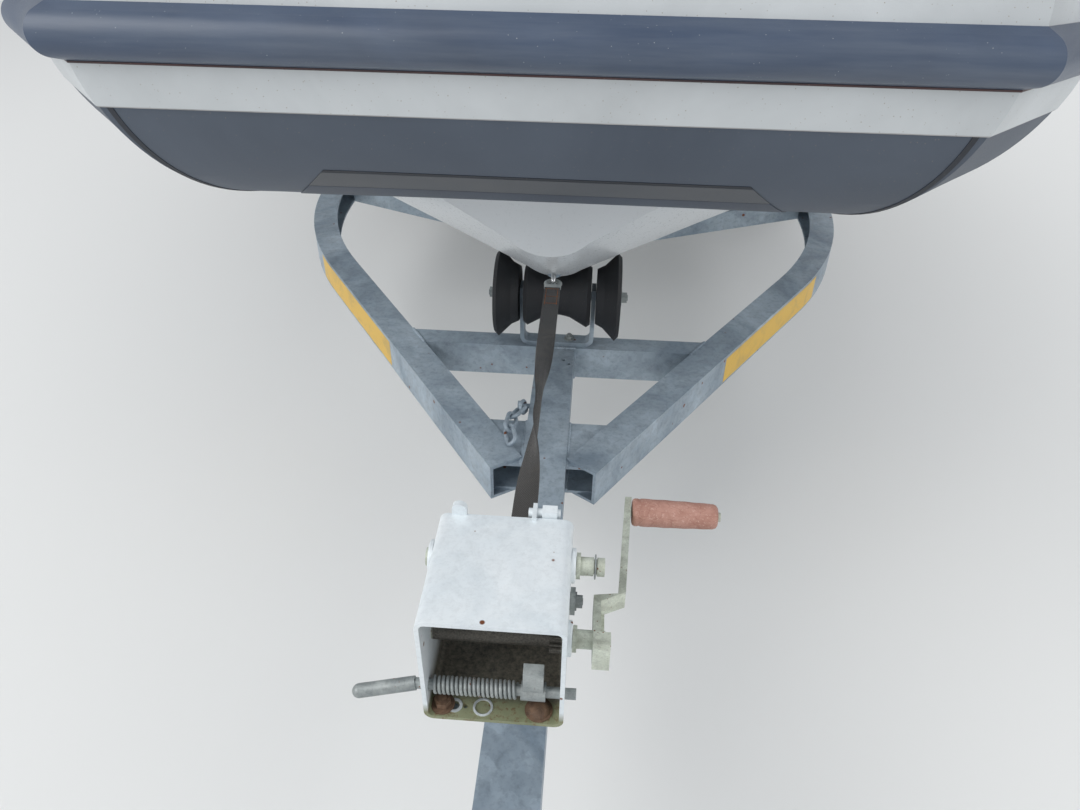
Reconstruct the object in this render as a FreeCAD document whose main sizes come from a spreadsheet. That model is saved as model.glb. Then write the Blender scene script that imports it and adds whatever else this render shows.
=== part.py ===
import FreeCAD, Part
import math
import os
import re
from types import SimpleNamespace

import Sketcher

# A rigid inflatable boat on its road trailer, seen from the towing end.
# Millimetres, Z up, ground at zero, bow towards -Y, stern towards +Y.
# Lengths called "Back" are measured towards the stern from the coupling ball.

V = FreeCAD.Vector
turn = FreeCAD.Rotation

os.makedirs("parts", exist_ok=True)
doc = FreeCAD.newDocument("RibBoat")
sheet = doc.addObject("Spreadsheet::Sheet", "Sizes")

sizes = {
    # running clearances
    "seat": 0.3, "runFit": 0.06, "sideGap": 0.8, "tubeGap": 0.5,
    # frame
    "ballY": -2937, "frameTop": 470,
    "drawbarWide": 80, "drawbarHigh": 80, "drawbarWall": 4, "drawbarBack": 130, "crossBack": 1850,
    "channelHigh": 75, "channelFlange": 65, "channelWall": 6,
    "armBack": 1440, "armHalf": 94.5, "armAngle": 33.9, "bendRadius": 1000, "frameHalf": 765, "frameEndBack": 5290,
    "gussetBack": 1462, "gussetLong": 128, "gussetThick": 6,
    "crossDeep": 50, "crossHigh": 75, "crossWall": 4,
    "veeBack": 2780, "veeRearBack": 5200, "veeDeep": 60, "veeHigh": 60, "veeDrop": 150,
    # axle, wheels and guards
    "axleBack": 4120, "beamSide": 60, "beamHalf": 776, "armThick": 18, "armWide": 70,
    "wheelHalf": 882, "tyreRadius": 289, "tyreWide": 155, "rimRadius": 165, "rimWide": 114,
    "stubRadius": 17.5, "hubRadius": 48, "hubLong": 92,
    "guardRadius": 350, "guardThick": 3, "guardWide": 205, "guardDrop": 40,
    # coupling and jockey wheel
    "ballRadius": 25, "socketGap": 0.4, "headWide": 92, "headHigh": 78, "headBack": 290, "noseRadius": 42,
    "handleLong": 190, "handleWide": 30, "handleThick": 8,
    "jockeyBack": 330, "jockeyOut": 86, "outerTubeRadius": 24, "innerTubeRadius": 20.5, "outerTubeLong": 430, "outerTubeFoot": 320,
    "jockeyWheelRadius": 100, "jockeyWheelWide": 52, "jockeyTrail": 38, "jockeyPin": 8, "crankReach": 95,
    # winch
    "winchBack": 765, "winchDeep": 128, "winchWide": 126, "winchHigh": 134, "winchFoot": 286, "winchWall": 4, "winchCorner": 9, "bossRadius": 16, "bossThick": 4,
    "toothModule": 2, "gearTeeth": 34, "pinionTeeth": 12, "gearWide": 7, "pinionWide": 11, "drumBack": 90, "drumUp": 66,
    "drumRadius": 16, "rollRadius": 29, "flangeRadius": 39, "flangeThick": 3, "shaftRadius": 8.5, "crankAngle": 175, "stubAngle": 87,
    "stubOut": 30, "crankLong": 202, "crankTail": 15, "gripInset": 18, "crankWide": 20, "crankThick": 7, "crankOffset": 23, "crankSplay": 9, "crankBend": 46, "crankOut": 22, "crankDip": 5,
    "gripRadius": 15, "gripTaper": 1.5, "gripLong": 92, "pawlBack": 13, "pawlUp": 33, "pawlShaftRadius": 5, "springRadius": 7, "springWire": 1.5, "springTurns": 19,
    "leverLong": 50, "leverRadius": 6.5, "keeperHalf": 44, "keeperRadius": 4.5, "strapWide": 28, "strapThick": 2.4, "strapAside": 7, "postSide": 60, "postBack": 1080, "postTopBack": 842, "plateThick": 6,
    # bow and keel rollers
    "rollerUp": 117, "rollerPin": 9, "bracketHalf": 80, "bracketBar": 9, "bracketDeep": 34,
    "waistRadius": 42, "rimRollRadius": 66, "outRollInner": 58, "outRollOuter": 92, "outRollWide": 50,
    "keelRollRadius": 42, "keelRollWaist": 30, "keelRollHalf": 60,
    # hull
    "keelUp": 460, "transomBack": 5340, "flatBack": 3400, "stemBack": 1500, "keelRise": 385, "chineRise": 330, "chineNarrow": 340, "deckRise": 235, "deckNarrow": 350, "deadrise": 20, "chineHalf": 600, "deckUp": 840, "deckHalf": 672,
    "transomHigh": 508, "transomThick": 45, "transomShoulder": 1150, "notchHalf": 330,
    "bunkOut": 450, "bunkWide": 95, "bunkThick": 42, "bunkLong": 1350, "bunkPost": 40,
    # tubes
    "tubeRadius": 225, "tubeUp": 1004, "bowRise": 8, "bowBack": 1360, "bowHalf": 336, "beamTube": 775, "kneeBack": 3103,
    "goreTurn": 52, "goreLong": 110, "sideTurn": 76, "tailBack": 5560, "coneLong": 320, "coneRadius": 95,
    "bandThick": 2, "bandAngle": 18.5, "bandTurn": 8, "fenderHigh": 53, "fenderDeep": 26,
    # deck gear
    "consoleBack": 3430, "consoleDeep": 380, "consoleWide": 520, "consoleHigh": 720,
    "helmRadius": 165, "helmRim": 13, "helmTilt": 62, "helmBack": 62, "helmDrop": 128, "railLow": 430, "railHigh": 620, "screenHigh": 300, "screenThick": 6,
    "seatBack": 4080, "seatDeep": 620, "seatWide": 440, "seatHigh": 500, "cushionThick": 90,
    "lockerBack": 2080, "lockerDeep": 420, "lockerHalf": 260, "lockerTop": 1085, "lockerWall": 12, "lidThick": 18, "hingePin": 4,
    # outboard motor
    "tiltUp": 30, "tiltOut": 34, "swivelOut": 112, "clampHalf": 118, "clampThick": 14, "tiltPin": 12, "swivelRadius": 30, "swivelPin": 14,
    "cowlWide": 370, "cowlLong": 560, "cowlHigh": 520, "plateDrop": 25, "plateWide": 200, "plateLong": 400,
    "torpedoRadius": 48, "propDrop": 178, "skegDrop": 150, "propRadius": 142, "propHub": 44, "propLong": 96, "bladePitch": 34,
    # rear lights
    "boardHalf": 760, "boardHigh": 120, "boardThick": 22, "boardDrop": 22, "lampWide": 190, "lampDeep": 45, "plateLength": 520, "chainWire": 3.9, "chainLong": 56, "chainWide": 28, "chainSlack": 2, "chainBolt": 5,
}
for row, (name, value) in enumerate(sizes.items(), 1):
    sheet.set(f"A{row}", name)
    sheet.set(f"B{row}", str(value))
    sheet.setAlias(f"B{row}", name)
doc.recompute()
k = SimpleNamespace(**{name: float(sheet.get(name)) for name in sizes})
names = re.compile(r"\b(" + "|".join(sorted(sizes, key=len, reverse=True)) + r")\b")


def linked(text):
    return names.sub(r"Sizes.\1", str(text))


def bind(obj, **links):
    for prop, text in links.items():
        obj.setExpression(prop, linked(text))
    return obj


def number(text):
    value = sheet.evalExpression(linked(text))
    return float(getattr(value, "Value", value))


def at(obj, x="0", y="0", z="0"):
    for axis, text in zip("xyz", (x, y, z)):
        if str(text) != "0":
            obj.setExpression("Placement.Base." + axis, linked(text))
    return obj


def box(name, sx, sy, sz, x, y, z):
    return at(bind(doc.addObject("Part::Box", name), Length=sx, Width=sy, Height=sz), x, y, z)


def rod(name, radius, length, x, y, z, axis="Z"):
    made = bind(doc.addObject("Part::Cylinder", name), Radius=radius, Height=length)
    made.Placement.Rotation = {"Z": turn(), "X": turn(V(0, 1, 0), 90), "Y": turn(V(1, 0, 0), -90)}[axis]
    return at(made, x, y, z)


def fuse(name, *members):
    made = doc.addObject("Part::MultiFuse", name)
    made.Shapes = list(members)
    return made


def cut(name, base, *tools):
    made = doc.addObject("Part::Cut", name)
    made.Base = base
    made.Tool = tools[0] if len(tools) == 1 else fuse(name + "Tools", *tools)
    return made


def drawn(body, name, plane, points):
    sketch = body.newObject("Sketcher::SketchObject", name)
    sketch.AttachmentSupport = [([f for f in body.Origin.OriginFeatures if f.Role == plane][0], "")]
    sketch.MapMode = "FlatFace"
    values = [(number(a), number(b)) for a, b in points]
    count = len(points)
    for i in range(count):
        sketch.addGeometry(Part.LineSegment(V(*values[i], 0), V(*values[(i + 1) % count], 0)), False)
    for i in range(count):
        sketch.addConstraint(Sketcher.Constraint("Coincident", i, 2, (i + 1) % count, 1))
    for i, (a, b) in enumerate(points):
        for kind, text, value, axis in (("DistanceX", a, values[i][0], -2), ("DistanceY", b, values[i][1], -1)):
            if abs(value) < 1e-9:
                sketch.addConstraint(Sketcher.Constraint("PointOnObject", i, 1, axis))
            else:
                index = sketch.addConstraint(Sketcher.Constraint(kind, -1, 1, i, 1, value))
                sketch.setExpression(f"Constraints[{index}]", linked(text))
    return sketch


def turned(name, plane, points, axis, x="0", y="0", z="0"):
    # a closed outline revolved about its sketch's own axis
    body = doc.addObject("PartDesign::Body", name)
    spin = body.newObject("PartDesign::Revolution", name + "Turn")
    sketch = drawn(body, name + "Sketch", plane, points)
    spin.Profile = sketch
    spin.ReferenceAxis = (sketch, [axis])
    spin.Angle = 360
    return at(body, x, y, z)


nodes = []


def node(label, made):
    made.Label = label
    nodes.append(made)
    return made


def shaped(label, shape):
    made = doc.addObject("Part::Feature", label)
    made.Shape = shape
    return node(label, made)


def joined(shapes):
    whole = shapes[0]
    for shape in shapes[1:]:
        whole = whole.fuse(shape)
    return whole


def block(x0, x1, y0, y1, z0, z1):
    return Part.makeBox(x1 - x0, y1 - y0, z1 - z0, V(x0, y0, z0))


def bar(radius, start, end):
    return Part.makeCylinder(radius, (end - start).Length, start, end - start)


def slab(points, direction):
    # a flat outline of straight edges pushed along a vector
    return Part.Face(Part.makePolygon([V(*p) for p in points] + [V(*points[0])])).extrude(V(*direction))


def mirrored(shape):
    return shape.mirror(V(0, 0, 0), V(1, 0, 0))


# Frame: two channel members that sweep in to a vee, a box drawbar, and crossmembers
theta = math.radians(k.armAngle)
along = V(math.sin(theta), math.cos(theta), 0)
inward = V(-math.cos(theta), math.sin(theta), 0)
armStart = V(k.armHalf, k.ballY + k.armBack, 0)
straight = (k.frameHalf - k.bendRadius - k.armHalf + k.bendRadius * math.cos(theta)) / math.sin(theta)
bendCentre = armStart + along * straight + inward * k.bendRadius
frameBottom = k.frameTop - k.channelHigh


def band(near, far, low, high, past=0.0):
    # plan strip between two offsets in from the outer face of the right-hand member
    def edge(offset):
        first = armStart + inward * offset - along * past
        start = bendCentre - inward * (k.bendRadius - offset)
        middle = bendCentre + V(math.cos(theta / 2), -math.sin(theta / 2), 0) * (k.bendRadius - offset)
        finish = bendCentre + V(k.bendRadius - offset, 0, 0)
        last = V(k.frameHalf - offset, k.ballY + k.frameEndBack + past, 0)
        return first, start, middle, finish, last
    a, b = edge(near), edge(far)
    wire = Part.Wire([
        Part.makeLine(a[0], a[1]), Part.Arc(a[1], a[2], a[3]).toShape(), Part.makeLine(a[3], a[4]), Part.makeLine(a[4], b[4]),
        Part.makeLine(b[4], b[3]), Part.Arc(b[3], b[2], b[1]).toShape(), Part.makeLine(b[1], b[0]), Part.makeLine(b[0], a[0])])
    solid = Part.Face(wire).extrude(V(0, 0, high - low))
    solid.translate(V(0, 0, low))
    return solid


member = band(0, k.channelFlange, frameBottom, k.frameTop).cut(
    band(k.channelWall, k.channelFlange + 5, frameBottom + k.channelWall, k.frameTop - k.channelWall, 5))
shaped("side_member_right", member)
shaped("side_member_left", mirrored(member))
footprint = band(-300, k.channelFlange, 0, 1000)
footprints = [footprint, mirrored(footprint)]


def between(shape):
    return shape.cut(footprints[0]).cut(footprints[1])


node("drawbar", cut("drawbarTube",
    box("drawbarOuter", "drawbarWide", "crossBack - drawbarBack", "drawbarHigh", "-drawbarWide / 2", "ballY + drawbarBack", "frameTop - drawbarHigh"),
    box("drawbarInner", "drawbarWide - 2 * drawbarWall", "crossBack - drawbarBack + 2", "drawbarHigh - 2 * drawbarWall",
        "drawbarWall - drawbarWide / 2", "ballY + drawbarBack - 1", "frameTop - drawbarHigh + drawbarWall"),
    rod("drawbarHoleA", 3.5, 20, "drawbarWide / 2 - 21", "ballY + crossBack - 48", "frameTop - 10"),
    rod("drawbarHoleB", 3.5, 20, "drawbarWide / 2 - 9", "ballY + crossBack - 62", "frameTop - 10")))


def webInner(y):
    return armStart.x - k.channelWall / math.cos(theta) + (y - armStart.y) * math.tan(theta)


plates = []
front, back = k.ballY + k.gussetBack, k.ballY + k.gussetBack + k.gussetLong
for low in (frameBottom + k.channelWall, k.frameTop - k.channelWall - k.gussetThick):
    plate = slab([(k.drawbarWide / 2, front, low), (webInner(front), front, low), (webInner(back), back, low), (k.drawbarWide / 2, back, low)],
                 (0, 0, k.gussetThick))
    plates += [plate, mirrored(plate)]
shaped("gusset_plates", Part.makeCompound(plates))

crossFront = k.ballY + k.crossBack
cross = block(-600, 600, crossFront, crossFront + k.crossDeep, k.frameTop - k.crossHigh, k.frameTop).cut(
    block(-600, 600, crossFront + k.crossWall, crossFront + k.crossDeep - k.crossWall, k.frameTop - k.crossHigh + k.crossWall, k.frameTop - k.crossWall))
shaped("front_crossmember", between(cross))


def veeLine(y, thick, deep):
    # a box section that dips to the middle of the trailer
    wide = k.frameHalf
    top, low = k.frameTop - thick, k.frameTop - k.veeHigh + thick
    dip = k.veeDrop * wide / (k.frameHalf - k.channelFlange)
    return slab([(-wide, y, top), (0, y, top - dip), (wide, y, top), (wide, y, low), (0, y, low - dip), (-wide, y, low)], (0, deep, 0))


vees = []
for back in (k.veeBack, k.veeRearBack):
    y = k.ballY + back
    vees.append(between(veeLine(y, 0, k.veeDeep).cut(veeLine(y + k.crossWall, k.crossWall, k.veeDeep - 2 * k.crossWall))))
veeMiddleTop = k.frameTop - k.veeDrop * k.frameHalf / (k.frameHalf - k.channelFlange)

# Axle beam under the frame, its cranked arms and stub axles
axleY = k.ballY + k.axleBack
beamTop = frameBottom
stubs = []
for side in (1, -1):
    inner = k.beamHalf
    arm = slab([(inner, axleY - 90, beamTop - k.beamSide), (inner, axleY - 90, beamTop), (inner, axleY - 20, beamTop),
                (inner, axleY + k.armWide / 2, k.tyreRadius + k.armWide / 2), (inner, axleY + k.armWide / 2, k.tyreRadius - k.armWide / 2),
                (inner, axleY - k.armWide / 2, k.tyreRadius - k.armWide / 2)], (k.armThick, 0, 0))
    stub = bar(k.stubRadius, V(inner, axleY, k.tyreRadius), V(k.wheelHalf + k.hubLong / 2 + 6, axleY, k.tyreRadius))
    piece = arm.fuse(stub)
    stubs.append(piece if side > 0 else mirrored(piece))
beam = block(-k.beamHalf, k.beamHalf, axleY - 90, axleY - 90 + k.beamSide, beamTop - k.beamSide, beamTop)
shaped("axle_beam", joined([beam] + stubs))

for side, word in ((1, "right"), (-1, "left")):
    sign = "" if side > 0 else "-"
    half = "tyreWide / 2"
    node(f"tyre_{word}", turned(f"tyre{word}", "XY_Plane", [
        (f"-{half} + 22", "rimRadius"), (f"{half} - 22", "rimRadius"), (f"{half} - 8", "rimRadius + 14"), (half, "rimRadius + 52"),
        (f"{half} - 3", "tyreRadius - 26"), (f"{half} - 20", "tyreRadius - 5"), (f"{half} - 34", "tyreRadius"),
        (f"-{half} + 34", "tyreRadius"), (f"-{half} + 20", "tyreRadius - 5"), (f"-{half} + 3", "tyreRadius - 26"),
        (f"-{half}", "rimRadius + 52"), (f"-{half} + 8", "rimRadius + 14")], "H_Axis", f"{sign}wheelHalf", "ballY + axleBack", "tyreRadius"))
    w = "rimWide / 2"
    hub = "hubLong / 2"
    outline = [("-" + hub, "stubRadius + runFit"), (hub, "stubRadius + runFit"), (hub, "hubRadius - 12"), (f"{hub} - 16", "hubRadius"),
               ("24", "hubRadius + 2"), ("32", "rimRadius - 62"), ("14", "rimRadius - 34"), ("18", "rimRadius - 22"),
               (w, "rimRadius - 16"), (w, "rimRadius - seat"), (f"-{w}", "rimRadius - seat"), (f"-{w}", "rimRadius - 8"),
               ("8", "rimRadius - 30"), ("6", "rimRadius - 40"), ("26", "rimRadius - 64"), ("16", "hubRadius"), (f"-{hub}", "hubRadius")]
    if side < 0:
        outline = [(f"-({a})", b) for a, b in outline]
    node(f"wheel_{word}", turned(f"wheel{word}", "XY_Plane", outline, "H_Axis", f"{sign}wheelHalf", "ballY + axleBack", "tyreRadius"))

guards = []
for side in (1, -1):
    x0 = "wheelHalf - guardWide / 2" if side > 0 else "-wheelHalf - guardWide / 2"
    tag = "R" if side > 0 else "L"
    shell = cut("guardShell" + tag, rod("guardOut" + tag, "guardRadius", "guardWide", x0, "ballY + axleBack", "tyreRadius", "X"),
                rod("guardIn" + tag, "guardRadius - guardThick", "guardWide + 10", x0 + " - 5", "ballY + axleBack", "tyreRadius", "X"),
                box("guardLow" + tag, "guardWide + 20", "2 * guardRadius + 20", "2 * guardRadius", x0 + " - 10",
                    "ballY + axleBack - guardRadius - 10", "tyreRadius + guardDrop - 2 * guardRadius"))
    bars = []
    reach = "wheelHalf + guardWide / 2 - frameHalf - 8"
    bx = "frameHalf" if side > 0 else "-wheelHalf - guardWide / 2 + 8"
    for end, shift in (("F", "-guardRadius + 8"), ("B", "guardRadius - 24")):
        bars.append(box(f"guardBar{tag}{end}", reach, 16, 34, bx, f"ballY + axleBack + {shift}", "frameTop - 55"))
    guards.append(fuse("guard" + tag, shell, *bars))
guardPair = doc.addObject("Part::Compound", "guardPair")
guardPair.Links = guards
node("mudguards", guardPair)

# Coupling head with its ball socket and lifting handle
headTop = k.frameTop + 6
socketZ = k.frameTop - 24
nose = Part.makeCylinder(k.noseRadius, headTop + 18 - socketZ + 22, V(0, k.ballY, socketZ - 22))
nose = nose.fuse(Part.makeSphere(k.noseRadius, V(0, k.ballY, headTop + 4)))
sectionA = Part.makePolygon([V(-34, k.ballY + 8, socketZ - 18), V(34, k.ballY + 8, socketZ - 18), V(34, k.ballY + 8, headTop + 16), V(-34, k.ballY + 8, headTop + 16), V(-34, k.ballY + 8, socketZ - 18)])
half = k.headWide / 2
sectionB = Part.makePolygon([V(-half, k.ballY + k.drawbarBack + 2, k.frameTop - k.headHigh), V(half, k.ballY + k.drawbarBack + 2, k.frameTop - k.headHigh),
                             V(half, k.ballY + k.drawbarBack + 2, headTop), V(-half, k.ballY + k.drawbarBack + 2, headTop), V(-half, k.ballY + k.drawbarBack + 2, k.frameTop - k.headHigh)])
neck = Part.makeLoft([sectionA, sectionB], True, True)
sleeve = block(-half, half, k.ballY + k.drawbarBack + 2, k.ballY + k.headBack, k.frameTop - k.headHigh, headTop)
head = joined([neck, nose, sleeve])
seatRadius = k.ballRadius + k.socketGap
head = head.cut(Part.makeSphere(seatRadius, V(0, k.ballY, socketZ))).cut(bar(seatRadius, V(0, k.ballY, socketZ - 60), V(0, k.ballY, socketZ)))
head = head.cut(block(-k.drawbarWide / 2, k.drawbarWide / 2, k.ballY + k.drawbarBack, k.ballY + k.headBack + 1, k.frameTop - k.drawbarHigh, k.frameTop))
lugGap = k.handleWide / 2 + 1
for side in (1, -1):
    head = head.fuse(block(*sorted((side * lugGap, side * (lugGap + 6))), k.ballY + 62, k.ballY + 104, headTop - 2, headTop + 34))
pinY, pinZ = k.ballY + 84, headTop + 20
head = head.fuse(bar(5, V(-lugGap - 8, pinY, pinZ), V(lugGap + 8, pinY, pinZ)))
shaped("coupling_head", head)
arm = block(-k.handleWide / 2, k.handleWide / 2, pinY - 9, pinY + k.handleLong, pinZ - 4, pinZ - 4 + k.handleThick)
arm = arm.fuse(bar(12, V(-k.handleWide / 2, pinY, pinZ), V(k.handleWide / 2, pinY, pinZ)))
arm = arm.cut(bar(5 + k.runFit, V(-60, pinY, pinZ), V(60, pinY, pinZ)))
shaped("coupling_handle", arm)

# Jockey wheel: clamp, outer tube, sliding inner tube with its crank, swivelling fork, wheel
jx, jy = -k.jockeyOut, k.ballY + k.jockeyBack
clamp = block(-k.jockeyOut - k.outerTubeRadius - 8, -k.drawbarWide / 2, jy - 30, jy + 30, k.frameTop - 66, k.frameTop - 10)
clamp = clamp.cut(bar(k.outerTubeRadius, V(jx, jy, 0), V(jx, jy, 900)))
clamp = clamp.fuse(bar(6, V(jx - 44, jy, k.frameTop - 38), V(jx - k.outerTubeRadius - 6, jy, k.frameTop - 38)))
clamp = clamp.fuse(bar(5, V(jx - 44, jy - 42, k.frameTop - 38), V(jx - 44, jy + 42, k.frameTop - 38)))
tubeFoot, tubeHead = k.outerTubeFoot, k.outerTubeFoot + k.outerTubeLong
outerTube = bar(k.outerTubeRadius, V(jx, jy, tubeFoot), V(jx, jy, tubeHead))
shaped("jockey_clamp", clamp.fuse(outerTube).cut(bar(k.innerTubeRadius + k.tubeGap, V(jx, jy, tubeFoot - 1), V(jx, jy, tubeHead + 1))))
wheelTop = 2 * k.jockeyWheelRadius
crownLow = wheelTop + 12
inner = bar(k.innerTubeRadius, V(jx, jy, crownLow + 14 + k.seat), V(jx, jy, tubeHead - 70))
inner = inner.fuse(bar(9, V(jx, jy, crownLow - 8), V(jx, jy, crownLow + 20)))
shaped("jockey_inner_tube", inner)
crank = bar(k.outerTubeRadius, V(jx, jy, tubeHead + k.seat), V(jx, jy, tubeHead + 10)).fuse(bar(13, V(jx, jy, tubeHead + 5), V(jx, jy, tubeHead + 44)))
crank = crank.fuse(block(jx - 8, jx + 8, jy - k.crankReach, jy, tubeHead + 34, tubeHead + 42)).fuse(bar(5, V(jx, jy - k.crankReach + 6, tubeHead + 38), V(jx, jy - k.crankReach + 6, tubeHead + 70)))
crank = crank.fuse(bar(12, V(jx, jy - k.crankReach + 6, tubeHead + 50), V(jx, jy - k.crankReach + 6, tubeHead + 118)))
shaped("jockey_crank", crank)
fork = Part.makeCylinder(24, 14, V(jx, jy, crownLow))
cheekGap = k.jockeyWheelWide / 2 + 5
wy = jy + k.jockeyTrail
fork = fork.fuse(block(jx - cheekGap - 5, jx + cheekGap + 5, jy - 22, wy + 10, crownLow, crownLow + 8))
for side in (1, -1):
    x0, x1 = sorted((jx + side * cheekGap, jx + side * (cheekGap + 5)))
    fork = fork.fuse(slab([(x0, jy - 22, crownLow + 4), (x0, wy + 10, crownLow + 4), (x0, wy + 17, k.jockeyWheelRadius - 16), (x0, wy - 17, k.jockeyWheelRadius - 16)], (x1 - x0, 0, 0)))
fork = fork.fuse(bar(k.jockeyPin, V(jx - cheekGap - 10, wy, k.jockeyWheelRadius), V(jx + cheekGap + 10, wy, k.jockeyWheelRadius)))
fork = fork.cut(bar(9 + k.runFit, V(jx, jy, crownLow - 20), V(jx, jy, crownLow + 60)))
shaped("jockey_fork", fork)
w = "jockeyWheelWide / 2"
node("jockey_wheel", turned("jockeyWheel", "XY_Plane", [
    (f"-{w}", "jockeyPin + runFit"), (w, "jockeyPin + runFit"), (w, "jockeyPin + 16"), (f"{w} - 14", "jockeyPin + 22"), (f"{w} - 14", "jockeyWheelRadius - 34"),
    (w, "jockeyWheelRadius - 26"), (w, "jockeyWheelRadius - 10"), (f"{w} - 9", "jockeyWheelRadius"), (f"-{w} + 9", "jockeyWheelRadius"),
    (f"-{w}", "jockeyWheelRadius - 10"), (f"-{w}", "jockeyWheelRadius - 26"), (f"-{w} + 14", "jockeyWheelRadius - 34"), (f"-{w} + 14", "jockeyPin + 22"),
    (f"-{w}", "jockeyPin + 16")], "H_Axis", "-jockeyOut", "ballY + jockeyBack + jockeyTrail", "jockeyWheelRadius"))

# Winch: folded sheet box open to front and rear, drum with gear, two pinion shafts, pawl shaft
winchY = k.ballY + k.winchBack
winchZ = k.frameTop + k.winchFoot
halfWide = k.winchWide / 2


def foldedLoop(wide, low, high, radius, y0, y1):
    # rounded rectangle seen along Y, pushed from y0 to y1
    r, pts = radius, []
    corners = [(wide, high, 0), (-wide, high, 90), (-wide, low, 180), (wide, low, 270)]
    edges, ends = [], []
    for x, z, start in corners:
        cx, cz = x - math.copysign(r, x), z - r if z == high else z + r
        arc = [V(cx + r * math.cos(math.radians(start + a)), y0, cz + r * math.sin(math.radians(start + a))) for a in (0, 45, 90)]
        edges.append(Part.Arc(*arc).toShape())
        ends.append((arc[0], arc[2]))
    for i in range(4):
        edges.append(Part.makeLine(ends[i][1], ends[(i + 1) % 4][0]))
    return Part.Face(Part.Wire(Part.__sortEdges__(edges))).extrude(V(0, y1 - y0, 0))


def gearSolid(teeth, width, centre, phase, side=1):
    # involute-like teeth with stub height and backlash, its axis along X, centred on the given point
    m, pressure, slack = k.toothModule, math.radians(20), 0.5
    pitch, base = m * teeth / 2, m * teeth / 2 * math.cos(pressure)
    tip, root = pitch + 0.8 * m, pitch - 1.15 * m

    def flank(radius):
        if radius <= base:
            radius = base
        roll = math.sqrt((radius / base) ** 2 - 1)
        return roll - math.atan(roll)
    halfPitch = (math.pi * m / 2 - slack) / 2 / pitch + flank(pitch)
    wheel = bar(root, V(centre.x - width / 2, centre.y, centre.z), V(centre.x + width / 2, centre.y, centre.z))
    blades = []
    for i in range(teeth):
        spin = phase + 2 * math.pi * i / teeth

        def point(radius, sign):
            angle = spin + sign * (halfPitch - flank(radius))
            return V(centre.x - width / 2, centre.y + radius * math.cos(angle), centre.z + radius * math.sin(angle))
        low, mid = max(root, base), (max(root, base) + tip) / 2
        start = root - 0.6
        rootSpot = [V(centre.x - width / 2, centre.y + start * math.cos(spin + s * (halfPitch - flank(low))), centre.z + start * math.sin(spin + s * (halfPitch - flank(low)))) for s in (1, -1)]
        edges = [Part.makeLine(rootSpot[0], point(low, 1)),
                 Part.Arc(point(low, 1), point(mid, 1), point(tip, 1)).toShape(), Part.makeLine(point(tip, 1), point(tip, -1)),
                 Part.Arc(point(tip, -1), point(mid, -1), point(low, -1)).toShape()]
        edges += [Part.makeLine(point(low, -1), rootSpot[1]), Part.makeLine(rootSpot[1], rootSpot[0])]
        blades.append(Part.Face(Part.Wire(edges)).extrude(V(width, 0, 0)))
    return wheel.multiFuse(blades)


def nutSolid(radius, start, length):
    # a hexagon along X
    ring = [V(start.x, start.y + radius * math.cos(math.radians(60 * i + 12)), start.z + radius * math.sin(math.radians(60 * i + 12))) for i in range(7)]
    return Part.Face(Part.makePolygon(ring)).extrude(V(length, 0, 0))


drumY, drumZ = winchY + k.drumBack, winchZ + k.drumUp
mesh = k.toothModule * (k.gearTeeth + k.pinionTeeth) / 2
crankA, stubA = math.radians(k.crankAngle), math.radians(k.stubAngle)
crankY, crankZ = drumY + mesh * math.cos(crankA), drumZ + mesh * math.sin(crankA)
stubY, stubZ = drumY + mesh * math.cos(stubA), drumZ + mesh * math.sin(stubA)
housing = foldedLoop(halfWide, winchZ, winchZ + k.winchHigh, k.winchCorner, winchY, winchY + k.winchDeep).cut(
    foldedLoop(halfWide - k.winchWall, winchZ + k.winchWall, winchZ + k.winchHigh - k.winchWall, k.winchCorner - k.winchWall, winchY - 1, winchY + k.winchDeep + 1))
for y, z in ((crankY, crankZ), (stubY, stubZ)):
    for x in (-halfWide - k.bossThick, halfWide):
        boss = bar(k.bossRadius, V(x, y, z), V(x + k.bossThick, y, z))
        housing = housing.fuse(boss.makeFillet(1.5, [e for e in boss.Edges if abs(abs(e.BoundBox.XMin) - halfWide - k.bossThick) < 0.1 and e.BoundBox.XLength < 0.1]))
keeperY, keeperZ = winchY + k.winchDeep, winchZ + k.winchHigh - 2
lugZ = keeperZ + 8
lug = block(-k.keeperHalf - 7, -k.keeperHalf + 7, keeperY - 2, keeperY + 4, keeperZ - 12, lugZ).fuse(
    bar(7, V(-k.keeperHalf, keeperY - 2, lugZ), V(-k.keeperHalf, keeperY + 4, lugZ)))
tab = block(k.keeperHalf - 20, k.keeperHalf - 16, keeperY - 4, keeperY + 16, keeperZ - 12, keeperZ + 6)
keeperBolt = bar(k.keeperRadius, V(k.keeperHalf - 24, keeperY + 9, keeperZ), V(k.keeperHalf + 6, keeperY + 9, keeperZ))
housing = housing.fuse([lug, tab, keeperBolt, nutSolid(8.5, V(k.keeperHalf - 11, keeperY + 9, keeperZ), 14)])
bore = k.shaftRadius + k.runFit
for y, z in ((drumY, drumZ), (crankY, crankZ), (stubY, stubZ)):
    housing = housing.cut(bar(bore, V(-halfWide - 20, y, z), V(halfWide + 20, y, z)))
pawlY, pawlZ = winchY + k.pawlBack, winchZ + k.pawlUp
housing = housing.cut(bar(k.pawlShaftRadius + k.seat, V(-halfWide - 9, pawlY, pawlZ), V(halfWide + 9, pawlY, pawlZ)))
for x, radius in ((-37, 4.5), (-27, 2)):
    housing = housing.cut(Part.makeCylinder(radius, 12, V(x, winchY + 12, winchZ - 4)))
housing = housing.cut(Part.makeCylinder(7, 12, V(-11, winchY + 12, winchZ + k.winchWall - 1)))
shaped("winch_housing", housing)

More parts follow.
